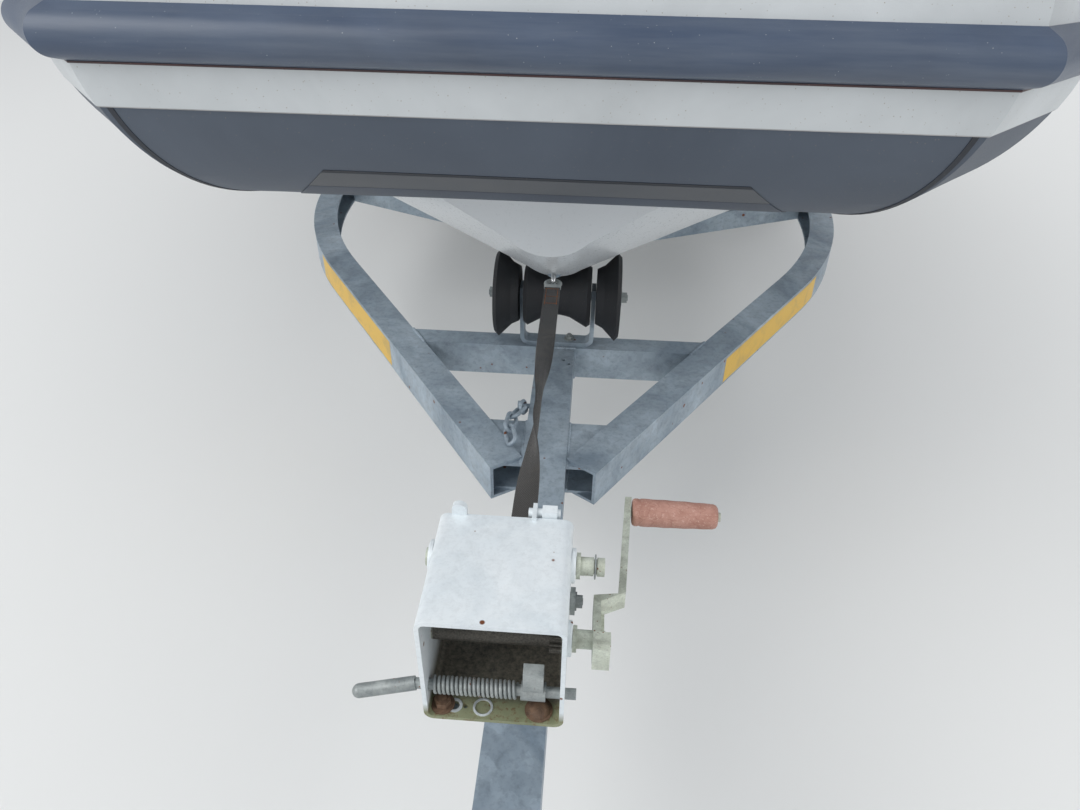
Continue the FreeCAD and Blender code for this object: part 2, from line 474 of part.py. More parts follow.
gearX = halfWide - k.winchWall - k.sideGap - k.pinionWide / 2
drum = bar(k.shaftRadius, V(-halfWide - 5, drumY, drumZ), V(halfWide + 5, drumY, drumZ))
drum = drum.fuse(gearSolid(int(k.gearTeeth), k.gearWide, V(gearX, drumY, drumZ), crankA))
leftFlange = -halfWide + k.winchWall + k.sideGap
rightFlange = gearX - k.pinionWide / 2 - 4
drum = drum.fuse(bar(k.drumRadius, V(leftFlange, drumY, drumZ), V(gearX, drumY, drumZ)))
flangeRadius = mesh - k.shaftRadius - 3.5
for x in (leftFlange, rightFlange - k.flangeThick):
    drum = drum.fuse(bar(min(k.flangeRadius, flangeRadius), V(x, drumY, drumZ), V(x + k.flangeThick, drumY, drumZ)))
for x in (-halfWide - 5, halfWide + k.seat):
    drum = drum.fuse(bar(13, V(x, drumY, drumZ), V(x + 5 - k.seat, drumY, drumZ)))
shaped("winch_drum", drum)
roll = bar(k.rollRadius, V(leftFlange + k.flangeThick, drumY, drumZ), V(rightFlange - k.flangeThick, drumY, drumZ)).cut(bar(k.drumRadius, V(-90, drumY, drumZ), V(90, drumY, drumZ)))
shaped("winch_strap_roll", roll)


def pinionPhase(direction):
    # the pinion shows a gap where the gear shows a tooth, and the other way round
    toothStep = 2 * math.pi / k.gearTeeth
    offset = ((direction - crankA) / toothStep) % 1.0
    return direction + math.pi + (0.5 + offset) * 2 * math.pi / k.pinionTeeth


def pinionShaft(y, z, direction, reach):
    shaft = bar(k.shaftRadius, V(-halfWide - k.bossThick - 3, y, z), V(reach, y, z))
    shaft = shaft.fuse(gearSolid(int(k.pinionTeeth), k.pinionWide, V(gearX, y, z), pinionPhase(direction)))
    return shaft.fuse(bar(12, V(bossFace + k.seat, y, z), V(bossFace + 4, y, z)))


bossFace = halfWide + k.bossThick
reach = halfWide + k.stubOut
stubShaft = pinionShaft(stubY, stubZ, stubA, reach)
groove = bar(k.shaftRadius + 3, V(reach - 10, stubY, stubZ), V(reach - 7, stubY, stubZ)).cut(
    bar(k.shaftRadius - 1.8, V(reach - 11, stubY, stubZ), V(reach - 6, stubY, stubZ)))
shaped("winch_stub_shaft", stubShaft.cut(groove))

# The crank: a folded socket on its shaft, a strip arm that jogs outwards and splays, and the grip's pin
reachDir = V(0, math.cos(math.radians(k.crankDip)), -math.sin(math.radians(k.crankDip)))
across = V(1, 0, 0).cross(reachDir)
inside = halfWide + k.crankOut
bendIn, bendOut, tip = k.crankBend, k.crankBend + 11, k.crankLong
thick, step, splay = k.crankThick, k.crankOffset, k.crankOffset + k.crankSplay
tail = k.crankTail


def armPoint(x, run, half):
    return V(x, crankY, crankZ) + reachDir * run + across * half


def plate(outline, low, high):
    # an outline of (x, run) pairs made as deep as the arm is wide, or part of it
    return Part.Face(Part.makePolygon([armPoint(x, run, low) for x, run in outline + outline[:1]])).extrude(across * (high - low))


half = k.crankWide / 2
arm = plate([(inside, -tail), (inside, bendIn), (inside + step, bendIn + 4), (inside + splay, tip), (inside + splay + thick, tip),
             (inside + step + thick, bendOut - 5), (inside + thick, bendIn - 7), (inside + thick, -tail)], -half, half)
arm = arm.fuse(plate([(inside, -tail), (inside, bendIn), (inside + thick + 4, bendIn), (inside + thick + 4, -tail)], -half - 3, -half))
tipEdges = [e for e in arm.Edges if e.BoundBox.YMax > crankY + (tip - 3) * reachDir.y - 2 and abs(e.BoundBox.XLength - thick) < 0.6]
arm = arm.makeFillet(7, tipEdges)
socketLong, socketDeep, socketWide = 32, 12, 15
socket = plate([(inside, -tail - socketDeep), (inside, -tail + 2), (inside + socketWide, -tail + 2), (inside + socketWide, -tail - socketDeep)], -7, socketLong - 7)
socket = socket.cut(plate([(inside + 2, -tail - socketDeep + 2), (inside + 2, -tail), (inside + socketWide - 2, -tail), (inside + socketWide - 2, -tail - socketDeep + 2)], -8, socketLong - 14))
gripRoot = V(0, crankY, crankZ) + reachDir * (tip - k.gripInset)
gripStart = inside + splay + thick
spindle = bar(5, gripRoot + V(inside + splay, 0, 0), gripRoot + V(gripStart + k.gripLong + 3, 0, 0))
shaped("winch_crank", pinionShaft(crankY, crankZ, crankA, inside + socketWide - 4).fuse(arm).fuse(socket).fuse(spindle))
grip = Part.makeCone(k.gripRadius, k.gripRadius - k.gripTaper, k.gripLong - k.seat, gripRoot + V(gripStart + k.seat, 0, 0), V(1, 0, 0))
grip = grip.makeFillet(4, [e for e in grip.Edges if e.Curve.TypeId == "Part::GeomCircle"])
grip = grip.cut(bar(5 + k.runFit, gripRoot, gripRoot + V(400, 0, 0)))
shaped("winch_grip", grip)

# Pawl shaft across the open front, with its lever to the right-hand side of the trailer and its spring
leverRoot = -halfWide - 8
pawlLeft = halfWide - 39
pawl = bar(k.pawlShaftRadius, V(leverRoot, pawlY, pawlZ), V(halfWide + 10, pawlY, pawlZ))
pawl = pawl.fuse(bar(8.5, V(pawlLeft, pawlY, pawlZ), V(pawlLeft + 22, pawlY, pawlZ)))
pawl = pawl.fuse(slab([(pawlLeft + 2, pawlY - 6, pawlZ), (pawlLeft + 2, pawlY - 5, pawlZ + 31), (pawlLeft + 2, pawlY + 4, pawlZ + 34), (pawlLeft + 2, pawlY + 5, pawlZ)], (18, 0, 0)))
leverEnd = V(leverRoot - k.leverLong, pawlY - 8, pawlZ - 6)
lever = bar(k.leverRadius, leverEnd, V(leverRoot, pawlY, pawlZ))
pawl = pawl.fuse(lever).fuse(Part.makeSphere(k.leverRadius, leverEnd))
shaped("winch_pawl", pawl)
coils = []
springLeft, springRight = -halfWide + k.winchWall + 2, pawlLeft - 1
for i in range(int(k.springTurns)):
    x = springLeft + (springRight - springLeft) * (i + 0.5) / k.springTurns
    coils.append(Part.makeTorus(k.springRadius, k.springWire, V(x, pawlY, pawlZ), V(1, 0, 0)))
shaped("winch_spring", Part.makeCompound(coils))

# Winch post raked forward, with a foot on the drawbar and a head plate under the winch
postTop = winchZ - k.plateThick
base0, top0 = k.ballY + k.postBack, k.ballY + k.postTopBack
h = k.postSide / 2
post = slab([(-h, base0 - 2 * h, k.frameTop + k.plateThick), (-h, base0, k.frameTop + k.plateThick), (-h, top0 + h, postTop), (-h, top0 - h, postTop)], (2 * h, 0, 0))
wall = 4
postIn = slab([(-h + wall, base0 - 2 * h + wall, k.frameTop), (-h + wall, base0 - wall, k.frameTop), (-h + wall, top0 + h - wall, postTop), (-h + wall, top0 - h + wall, postTop)], (2 * h - 2 * wall, 0, 0))
post = post.cut(postIn)
post = post.fuse(block(-k.drawbarWide / 2, k.drawbarWide / 2, base0 - 95, base0 + 35, k.frameTop, k.frameTop + k.plateThick))
post = post.fuse(block(-halfWide + 6, halfWide - 6, winchY + 8, winchY + k.winchDeep, postTop, winchZ))
shaped("winch_post", post)

# Bow roller set on the front crossmember
rollerY = crossFront + k.crossDeep / 2
rollerZ = k.frameTop + k.rollerUp
near, far = rollerY - k.bracketDeep / 2, rollerY + k.bracketDeep / 2
bracket = foldedLoop(k.bracketHalf, k.frameTop, rollerZ + 90, 20, near, far).cut(
    foldedLoop(k.bracketHalf - k.bracketBar, k.frameTop + k.bracketBar, rollerZ + 80, 11, near - 1, far + 1))
bracket = bracket.cut(block(-200, 200, near - 1, far + 1, rollerZ + 22, rollerZ + 120))
pinHalf = k.bracketHalf + k.outRollWide + 14
bracket = bracket.fuse(bar(k.rollerPin, V(-pinHalf, rollerY, rollerZ), V(pinHalf, rollerY, rollerZ)))
shaped("bow_roller_bracket", bracket)
inHalf = "bracketHalf - bracketBar - sideGap"
rollerPlace = ("ballY + crossBack + crossDeep / 2", "frameTop + rollerUp")
node("bow_roller_middle", turned("bowRollerMiddle", "XY_Plane", [
    (f"-({inHalf})", "rollerPin + runFit"), (inHalf, "rollerPin + runFit"), (inHalf, "rimRollRadius - 6"), (f"{inHalf} - 8", "rimRollRadius"),
    ("26", "waistRadius + 4"), ("6", "waistRadius"), ("-6", "waistRadius"), ("-26", "waistRadius + 4"), (f"-({inHalf}) + 8", "rimRollRadius"), (f"-({inHalf})", "rimRollRadius - 6")],
    "H_Axis", "0", *rollerPlace))
for side, word in ((1, "right"), (-1, "left")):
    outline = [("bracketHalf + sideGap", "rollerPin + runFit"), ("bracketHalf + sideGap + outRollWide", "rollerPin + runFit"), ("bracketHalf + sideGap + outRollWide", "outRollOuter - 8"),
               ("bracketHalf + sideGap + outRollWide - 8", "outRollOuter"), ("bracketHalf + sideGap + 16", "outRollInner + 8"), ("bracketHalf + sideGap", "outRollInner")]
    if side < 0:
        outline = [(f"-({a})", b) for a, b in outline]
    node(f"bow_roller_{word}", turned(f"bowRoller{word}", "XY_Plane", outline, "H_Axis", "0", *rollerPlace))

# Keel rollers on the two vee crossmembers
def stationAt(back):
    # keel z, keel half width, chine x and z, deck x and z of the hull at a distance behind the ball
    share = max(0.0, (k.flatBack - back) / (k.flatBack - k.stemBack))
    return (k.keelUp + k.keelRise * share ** 3.76, 14 + 46 * share ** 2, k.chineHalf - k.chineNarrow * share ** 3.7, k.keelUp + k.chineHalf * rad + k.chineRise * share ** 3.0,
            k.deckHalf - k.deckNarrow * share ** 4.2, k.deckUp + k.deckRise * share ** 2.3)


def keelBottom(back):
    keelZ, keelHalf, chineX, chineZ = stationAt(back)[:4]
    return keelZ + 0.35 * keelHalf * (chineZ - keelZ) / chineX


rad = math.tan(math.radians(k.deadrise))
keelRollerUp = {back: keelBottom(back + k.veeDeep / 2) - k.seat - k.keelRollWaist for back in (k.veeBack, k.veeRearBack)}
brackets = []
for back in (k.veeBack, k.veeRearBack):
    y, keelRollerZ = k.ballY + back + k.veeDeep / 2, keelRollerUp[back]
    piece = block(-k.keelRollHalf - 12, k.keelRollHalf + 12, y - 20, y + 20, veeMiddleTop, veeMiddleTop + 8 + k.veeDrop * 75 / 700)
    for side in (1, -1):
        x0, x1 = sorted((side * (k.keelRollHalf + 4), side * (k.keelRollHalf + 12)))
        piece = piece.fuse(block(x0, x1, y - 20, y + 20, veeMiddleTop, keelRollerZ + 20))
    piece = piece.fuse(bar(k.rollerPin, V(-k.keelRollHalf - 16, y, keelRollerZ), V(k.keelRollHalf + 16, y, keelRollerZ)))
    brackets.append(piece.cut(veeLine(k.ballY + back, 0, k.veeDeep)))
shaped("vee_crossmembers", Part.makeCompound([vee.fuse(piece) for vee, piece in zip(vees, brackets)]))
for word, back in (("front", "veeBack"), ("rear", "veeRearBack")):
    node(f"keel_roller_{word}", turned(f"keelRoller{word}", "XY_Plane", [
        ("-keelRollHalf", "rollerPin + runFit"), ("keelRollHalf", "rollerPin + runFit"), ("keelRollHalf", "keelRollRadius - 4"), ("keelRollHalf - 6", "keelRollRadius"),
        ("14", "keelRollWaist"), ("-14", "keelRollWaist"), ("-keelRollHalf + 6", "keelRollRadius"), ("-keelRollHalf", "keelRollRadius - 4")],
        "H_Axis", "0", f"ballY + {back} + veeDeep / 2", keelRollerUp[getattr(k, back)]))

# Tube centre line: a blunt bow, gored corners, sides that open to the beam, then level tubes aft of the knee
rise = math.radians(k.bowRise)
bowY = k.ballY + k.bowBack
kneeY = k.ballY + k.kneeBack
tailY = k.ballY + k.tailBack
goreEnd = V(k.bowHalf + k.goreLong * math.cos(math.radians(k.goreTurn)), bowY + k.goreLong * math.sin(math.radians(k.goreTurn)), 0)
sideRun = (k.beamTube - goreEnd.x) / math.cos(math.radians(k.sideTurn))
sideEnd = V(k.beamTube, goreEnd.y + sideRun * math.sin(math.radians(k.sideTurn)), 0)
line = [V(k.bowHalf, bowY, 0), goreEnd, sideEnd, V(k.beamTube, kneeY, 0)]
line = [V(p.x, p.y, k.tubeUp + max(0.0, kneeY - p.y) * math.tan(rise)) for p in line] + [V(k.beamTube, tailY, k.tubeUp)]
line = [V(-p.x, p.y, p.z) for p in reversed(line)] + line
upward = V(0, math.sin(rise), math.cos(rise))


def mitredRun(profile, points, reach=420, extra=0.0):
    # profile(outward, up, at) makes a flat face at a point; each straight is cut on the planes that halve the corners
    pieces = []
    directions = [(points[i + 1] - points[i]).normalize() for i in range(len(points) - 1)]
    for i, u in enumerate(directions):
        level = upward if (points[i] - points[i + 1]).z != 0 or (i not in (0, len(directions) - 1)) else V(0, 0, 1)
        outward = u.cross(level).normalize()
        if i == 0 or i == len(directions) - 1:
            level = V(0, 0, 1)
            outward = u.cross(level).normalize()
        lead = reach if i > 0 else 0
        trail = reach if i < len(directions) - 1 else 0
        start = points[i] - u * lead
        face = profile(outward, u.cross(outward) * -1, start)
        piece = face.extrude(u * ((points[i + 1] - points[i]).Length + lead + trail))
        for corner, sign in ((i, -1), (i + 1, 1)):
            if 0 < corner < len(points) - 1:
                normal = (directions[corner - 1] + directions[corner]).normalize() * sign
                big = 1500
                tool = Part.makeBox(big, big, big, V(-big / 2, -big / 2, 0))
                tool.Placement = FreeCAD.Placement(points[corner], turn(V(0, 0, 1), normal))
                piece = piece.cut(tool)
        pieces.append(piece)
    return pieces


def roundFace(radius):
    return lambda outward, up, start: Part.Face(Part.Wire(Part.makeCircle(radius, start, outward.cross(up))))


def fan(inner, outerR, low, high):
    def face(outward, up, start):
        def spot(radius, angle):
            a = math.radians(angle)
            return start + outward * (radius * math.cos(a)) + up * (radius * math.sin(a))
        mid = (low + high) / 2
        return Part.Face(Part.Wire([Part.Arc(spot(inner, low), spot(inner, mid), spot(inner, high)).toShape(), Part.makeLine(spot(inner, high), spot(outerR, high)),
                                    Part.Arc(spot(outerR, high), spot(outerR, mid), spot(outerR, low)).toShape(), Part.makeLine(spot(outerR, low), spot(inner, low))]))
    return face


def fenderFace(outward, up, start):
    r = k.tubeRadius + k.bandThick + k.seat
    h = k.fenderHigh / 2
    root = math.sqrt(r * r - h * h)

    lean = math.radians(k.bandTurn)

    def spot(a, b):
        return start + outward * (a * math.cos(lean) + b * math.sin(lean)) + up * (b * math.cos(lean) - a * math.sin(lean))
    return Part.Face(Part.Wire([Part.Arc(spot(root, -h), spot(r, 0), spot(root, h)).toShape(), Part.makeLine(spot(root, h), spot(r + k.fenderDeep * 0.45, h * 0.8)),
                                Part.Arc(spot(r + k.fenderDeep * 0.45, h * 0.8), spot(r + k.fenderDeep, 0), spot(r + k.fenderDeep * 0.45, -h * 0.8)).toShape(),
                                Part.makeLine(spot(r + k.fenderDeep * 0.45, -h * 0.8), spot(root, -h))]))


def tails(radius, tip, length):
    cones = []
    for side in (1, -1):
        cones.append(Part.makeCone(radius, tip, length, V(side * k.beamTube, tailY, k.tubeUp), V(0, 1, 0)))
    return cones


tube = joined(mitredRun(roundFace(k.tubeRadius), line) + tails(k.tubeRadius, k.coneRadius, k.coneLong))
shaped("inflatable_tube", tube)
fat = joined(mitredRun(roundFace(k.tubeRadius + k.seat), line) + tails(k.tubeRadius + k.seat, k.coneRadius + k.seat, k.coneLong))
r = k.tubeRadius + k.seat
shaped("tube_band", joined(mitredRun(fan(r, k.tubeRadius + k.bandThick, -k.bandAngle - k.bandTurn, k.bandAngle - k.bandTurn), line)))
shaped("rubbing_fender", joined(mitredRun(fenderFace, line)))

# Hull: vee bottom with chines, lofted through six sections and trimmed to sit against the tubes
stations = []
for i in range(8):
    back = k.flatBack - (k.flatBack - k.stemBack) * i / 7
    stations.append((k.ballY + back, *stationAt(back)))


def hullWire(y, keelZ, keelHalf, chineX, chineZ, deckX, deckZ):
    lift = keelHalf * (chineZ - keelZ) / chineX
    p = [V(deckX, y, deckZ), V(chineX, y, chineZ), V(keelHalf, y, keelZ + lift)]
    q = [V(-a.x, a.y, a.z) for a in reversed(p)]
    return Part.Wire([Part.makeLine(p[0], p[1]), Part.makeLine(p[1], p[2]), Part.Arc(p[2], V(0, y, keelZ + lift * 0.35), q[0]).toShape(),
                      Part.makeLine(q[0], q[1]), Part.makeLine(q[1], q[2]), Part.makeLine(q[2], p[0])])


after = hullWire(*stations[0])
after = Part.Face(after).extrude(V(0, k.transomBack - k.flatBack, 0))
fore = Part.makeLoft([hullWire(*row) for row in stations], True, False)
hullFull = after.fuse(fore)
hull = hullFull.cut(fat)
hull = sorted(hull.Solids, key=lambda s: -s.Volume)[0]
shaped("hull", hull)

# Transom board between the tubes with the notch that takes the motor
transomY = k.ballY + k.transomBack
transomTop = k.keelUp + k.transomHigh
n = k.notchHalf
board = slab([(-700, transomY - k.transomThick, k.deckUp), (-700, transomY - k.transomThick, k.transomShoulder), (-n - 30, transomY - k.transomThick, k.transomShoulder),
              (-n + 40, transomY - k.transomThick, transomTop), (n - 40, transomY - k.transomThick, transomTop), (n + 30, transomY - k.transomThick, k.transomShoulder),
              (700, transomY - k.transomThick, k.transomShoulder), (700, transomY - k.transomThick, k.deckUp)], (0, k.transomThick, 0)).cut(fat)
shaped("transom", sorted(board.Solids, key=lambda s: -s.Volume)[0])

# Bunks: padded boards along the vee, on posts from the axle beam and the rear crossmember
bunks, posts = [], []
slope = math.radians(k.deadrise)
bunkY1 = k.ballY + k.veeRearBack + k.veeDeep
bunkY0 = bunkY1 - k.bunkLong
drop = (k.seat + 0.2) / math.cos(slope)


def underside(x):
    return k.keelUp + x * rad - drop


x0, x1 = k.bunkOut - k.bunkWide / 2, k.bunkOut + k.bunkWide / 2
thick = k.bunkThick / math.cos(slope)
bunk = slab([(x0, bunkY0, underside(x0)), (x1, bunkY0, underside(x1)), (x1, bunkY0, underside(x1) - thick), (x0, bunkY0, underside(x0) - thick)], (0, k.bunkLong, 0))
shaped("bunks", Part.makeCompound([bunk, mirrored(bunk)]))
p0, p1 = k.bunkOut - k.bunkPost / 2, k.bunkOut + k.bunkPost / 2
for y, foot in ((axleY - 90 + 10, beamTop), (k.ballY + k.veeRearBack + 10, 0)):
    low = foot or k.frameTop - 120
    post = slab([(p0, y, low), (p1, y, low), (p1, y, underside(p1) - thick), (p0, y, underside(p0) - thick)], (0, k.bunkPost, 0))
    if not foot:
        post = post.cut(veeLine(k.ballY + k.veeRearBack - 1, 0, k.veeDeep + 2))
        post = sorted(post.Solids, key=lambda s: -s.BoundBox.ZMax)[0]
    posts += [post, mirrored(post)]
shaped("bunk_posts", Part.makeCompound(posts))

# Bow eye on the stem, strap and hook from the winch
eyeY, eyeZ = k.ballY + 1662, k.frameTop + 262
eye = Part.makeTorus(12, 4, V(0, eyeY, eyeZ), V(1, 0, 0)).fuse(bar(5, V(0, eyeY + 14, eyeZ + 5), V(0, eyeY + 140, eyeZ + 46))).fuse(
    bar(13, V(0, eyeY + 18, eyeZ + 6), V(0, eyeY + 24, eyeZ + 8))).cut(hull)
shaped("bow_eye", sorted(eye.Solids, key=lambda s: -s.Volume)[0])
eyeSpot, drumSpot = V(0, eyeY, eyeZ), V(0, drumY, drumZ)
hookRing, hookWire, loopBar = 13, 3.5, 5
gapLine = eyeSpot - drumSpot
direction = math.atan2(gapLine.z, gapLine.y) + math.asin((k.rollRadius + k.seat + k.strapThick / 2) / gapLine.Length)
run = V(0, math.cos(direction), math.sin(direction))
under = V(0, math.sin(direction), -math.cos(direction))
leave = drumSpot + under * (k.rollRadius + k.seat)
length = (eyeSpot - leave).dot(run) - 2 * hookRing - loopBar - k.seat
corners = [leave + V(k.strapAside + side * k.strapWide / 2, 0, 0) + under * down for side, down in ((-1, 0), (1, 0), (1, k.strapThick), (-1, k.strapThick))]
shaped("bow_strap", Part.Face(Part.makePolygon(corners + corners[:1])).extrude(run * length - V(k.strapAside, 0, 0)))
hook = Part.makeTorus(hookRing, hookWire, eyeSpot - run * hookRing, under)
loop = eyeSpot - run * 2 * hookRing
shaped("strap_hook", hook.fuse(bar(loopBar, loop - V(15, 0, 0), loop + V(15, 0, 0))))

# Safety chain: links from a bolt in the drawbar's side, over the gusset plate
bend = k.chainWide / 2 - k.chainWire
straightHalf = (k.chainLong - k.chainWide) / 2


plainLink = []
for end in (1, -1):
    ring = Part.makeTorus(bend, k.chainWire, V(0, end * straightHalf, 0), V(0, 0, 1))
    plainLink.append(ring.cut(block(-99, 99, *sorted((0, end * straightHalf)), -9, 9)).cut(block(-99, 99, *sorted((0, -99 * end)), -9, 9)))
    plainLink.append(bar(k.chainWire, V(end * bend, -straightHalf, 0), V(end * bend, straightHalf, 0)))
plainLink = joined(plainLink)


def chainLink(middle, along, roll):
    # an oval link, rolled about its own length from lying flat
    along.normalize()
    flat = along.cross(V(0, 0, 1)).normalize()
    wide = flat * math.cos(math.radians(roll)) + flat.cross(along) * math.sin(math.radians(roll))
    link = plainLink.copy()
    link.Placement = FreeCAD.Placement(middle, turn(wide, along, wide.cross(along), "XYZ"))
    return link


# the first link climbs from the bolt, the last two rest on the side member
hold = k.chainLong / 2 - 2 * k.chainWire - k.chainSlack / 2
headings = [V(-0.1, -0.88, 0.46), V(-0.35, -0.92, 0.17), V(-0.1, -0.995, 0), V(0.25, -0.968, 0)]
middles = [headings[0] * (hold - k.chainBolt)]
for before, after in zip(headings, headings[1:]):
    middles.append(middles[-1] + (before + after) * hold)
chainRest = k.frameTop + k.seat + k.chainWire + bend * math.sqrt(0.5)
chainFoot = V(-k.drawbarWide / 2 - 11, k.ballY + k.gussetBack + k.gussetLong + 55, chainRest - middles[-1].z)
drawbarSide = -k.drawbarWide / 2 - k.seat
bolt = [bar(radius, V(start, chainFoot.y, chainFoot.z), V(drawbarSide - 24, chainFoot.y, chainFoot.z))
        for radius, start in ((k.chainBolt, drawbarSide), (2 * k.chainBolt, drawbarSide - 19))]
links = [joined(bolt)] + [chainLink(chainFoot + middle, heading, roll) for middle, heading, roll in zip(middles, headings, (70, -30, 45, -45))]
shaped("safety_chain", Part.makeCompound(links))

# Console with its screen and wheel, seat, bow locker with a hinged lid
deck = k.deckUp
consoleY = k.ballY + k.consoleBack
cw = k.consoleWide / 2
top = deck + k.consoleHigh
shell = slab([(-cw, consoleY, deck), (-cw, consoleY + k.consoleDeep, deck), (-cw, consoleY + k.consoleDeep, top - 160), (-cw, consoleY + k.consoleDeep - 70, top - 20),
              (-cw, consoleY + 90, top), (-cw, consoleY + 40, top - 30)], (2 * cw, 0, 0))
shell = shell.makeFillet(22, [e for e in shell.Edges if abs(e.Vertexes[0].Point.x - e.Vertexes[-1].Point.x) < 1 and min(v.Point.z for v in e.Vertexes) > deck + 5])
s0, s1 = consoleY + 92, consoleY + 92 + 95
screen = slab([(-cw + 25, s0, top + k.seat - 4), (cw - 25, s0, top + k.seat - 4), (cw - 75, s1, top + k.screenHigh), (-cw + 75, s1, top + k.screenHigh)],
              (0, k.screenThick, -k.screenThick * 0.1)).cut(shell)
shaped("windscreen", sorted(screen.Solids, key=lambda s: -s.Volume)[0])
rail = []
railPoints = [(-cw - 16, consoleY + 120, deck + k.railLow), (-cw - 16, consoleY + 150, top + k.screenHigh + 20),
              (cw + 16, consoleY + 150, top + k.screenHigh + 20), (cw + 16, consoleY + 120, deck + k.railLow)]
for a, b in zip(railPoints, railPoints[1:]):
    rail.append(bar(12.5, V(*a), V(*b)))
for p in railPoints[1:3]:
    rail.append(Part.makeSphere(12.5, V(*p)))
for x in (-1, 1):
    for z in (k.railLow, k.railHigh):
        rail.append(bar(8, V(x * cw, consoleY + 122, deck + z), V(x * (cw + 16), consoleY + 122, deck + z)))
shaped("console_rail", joined(rail))
helmC = V(0, consoleY + k.consoleDeep + k.helmBack, top - k.helmDrop)
away = V(0, math.sin(math.radians(k.helmTilt)), math.cos(math.radians(k.helmTilt)))
helm = Part.makeTorus(k.helmRadius, k.helmRim, helmC, away)
across = V(1, 0, 0)
upWheel = away.cross(across)
for a in (90, 210, 330):
    direction = across * math.cos(math.radians(a)) + upWheel * math.sin(math.radians(a))
    helm = helm.fuse(bar(8, helmC, helmC + direction * (k.helmRadius - 4)))
helm = helm.fuse(bar(34, helmC - away * 12, helmC + away * 14))
helm = helm.fuse(bar(12, helmC - away * 40, helmC))
shaped("helm_wheel", helm)
shaped("console", shell.fuse(bar(22, helmC - away * 130, helmC - away * 18)).cut(bar(12 + k.runFit, helmC - away * 41, helmC + away * 5)))
seatY = k.ballY + k.seatBack
sw = k.seatWide / 2
pod = slab([(-sw, seatY + 60, deck), (-sw, seatY + k.seatDeep - 60, deck), (-sw, seatY + k.seatDeep, deck + k.seatHigh), (-sw, seatY, deck + k.seatHigh)], (2 * sw, 0, 0))
pod = pod.makeFillet(30, [e for e in pod.Edges if max(v.Point.z for v in e.Vertexes) - min(v.Point.z for v in e.Vertexes) > 100])
shaped("seat_pod", pod)
cushion = block(-sw - 8, sw + 8, seatY - 12, seatY + k.seatDeep + 8, deck + k.seatHigh, deck + k.seatHigh + k.cushionThick)
cushion = cushion.makeFillet(26, [e for e in cushion.Edges if min(v.Point.z for v in e.Vertexes) > deck + k.seatHigh + 1])
shaped("seat_cushion", cushion)
lockY = k.ballY + k.lockerBack
lh = k.lockerHalf
locker = block(-lh, lh, lockY, lockY + k.lockerDeep, deck, k.lockerTop).cut(
    block(-lh + k.lockerWall, lh - k.lockerWall, lockY + k.lockerWall, lockY + k.lockerDeep - k.lockerWall, deck - 1, k.lockerTop + 1)).cut(hullFull)
locker = sorted(locker.Solids, key=lambda s: -s.Volume)[0]
hingeY, lidLow = lockY - 12, k.lockerTop + k.seat
hingeZ = lidLow + k.lidThick / 2
lid = block(-lh - 6, lh + 6, lockY - 2, lockY + k.lockerDeep + 6, lidLow, lidLow + k.lidThick)
lid = lid.makeFillet(7, [e for e in lid.Edges if min(v.Point.z for v in e.Vertexes) > lidLow + 1])
for side in (1, -1):
    pair = []
    for near, far in ((150, 156), (210, 216)):
        x0, x1 = sorted((side * near, side * far))
        ear = block(x0, x1, hingeY - 9, lockY + 2, hingeZ - 26, lidLow - k.seat).fuse(block(x0, x1, hingeY - 9, hingeY + 6, hingeZ - 12, hingeZ))
        pair.append(ear.fuse(bar(9, V(x0, hingeY, hingeZ), V(x1, hingeY, hingeZ))))
    locker = locker.fuse(pair[0]).fuse(pair[1]).fuse(bar(k.hingePin, V(side * 148, hingeY, hingeZ), V(side * 218, hingeY, hingeZ)))
    x0, x1 = sorted((side * 157, side * 209))
    knuckle = bar(9, V(x0, hingeY, hingeZ), V(x1, hingeY, hingeZ)).fuse(block(x0, x1, hingeY, lockY, hingeZ - 8, hingeZ + 8))
    lid = lid.fuse(knuckle)
    lid = lid.cut(bar(k.hingePin + k.runFit, V(side * 140, hingeY, hingeZ), V(side * 230, hingeY, hingeZ)))
shaped("bow_locker", locker)
shaped("locker_lid", lid)

# Outboard motor: clamp brackets, tilting swivel bracket, steering leg with cowl, propeller
tiltY, tiltZ = transomY + k.tiltOut, transomTop + k.tiltUp
clampParts = []
for side in (1, -1):
    x0, x1 = sorted((side * k.clampHalf, side * (k.clampHalf - k.clampThick)))
    cheek = slab([(x0, transomY - k.transomThick - 26, transomTop - 118), (x0, transomY - k.transomThick - 26, transomTop + 12), (x0, tiltY - 22, tiltZ + 22), (x0, tiltY + 22, tiltZ + 22),
                  (x0, tiltY + 22, tiltZ - 30), (x0, transomY + 40, transomTop - 330), (x0, transomY, transomTop - 340), (x0, transomY, transomTop - 118)], (x1 - x0, 0, 0))
    cheek = cheek.cut(block(-400, 400, transomY - k.transomThick, transomY, 0, transomTop))
    screw = bar(7, V((x0 + x1) / 2, transomY - k.transomThick - 60, transomTop - 90), V((x0 + x1) / 2, transomY - k.transomThick, transomTop - 90))
    clampParts.append(cheek.fuse(screw))
pinTube = bar(k.tiltPin, V(-k.clampHalf - 6, tiltY, tiltZ), V(k.clampHalf + 6, tiltY, tiltZ))
saddle = block(-k.clampHalf, k.clampHalf, transomY - k.transomThick - 4, transomY + 4, transomTop, transomTop + 8)
shaped("motor_clamp", joined([clampParts[0], pinTube, saddle, clampParts[1]]).cut(board))
steerY = transomY + k.swivelOut
arms = k.clampHalf - k.clampThick - 2
swivel = bar(k.tiltPin + 12, V(-arms, tiltY, tiltZ), V(arms, tiltY, tiltZ))
swivelLow, swivelHigh = transomTop - 300, tiltZ - 8
swivel = swivel.fuse(bar(k.swivelRadius, V(0, steerY, swivelLow), V(0, steerY, swivelHigh)))
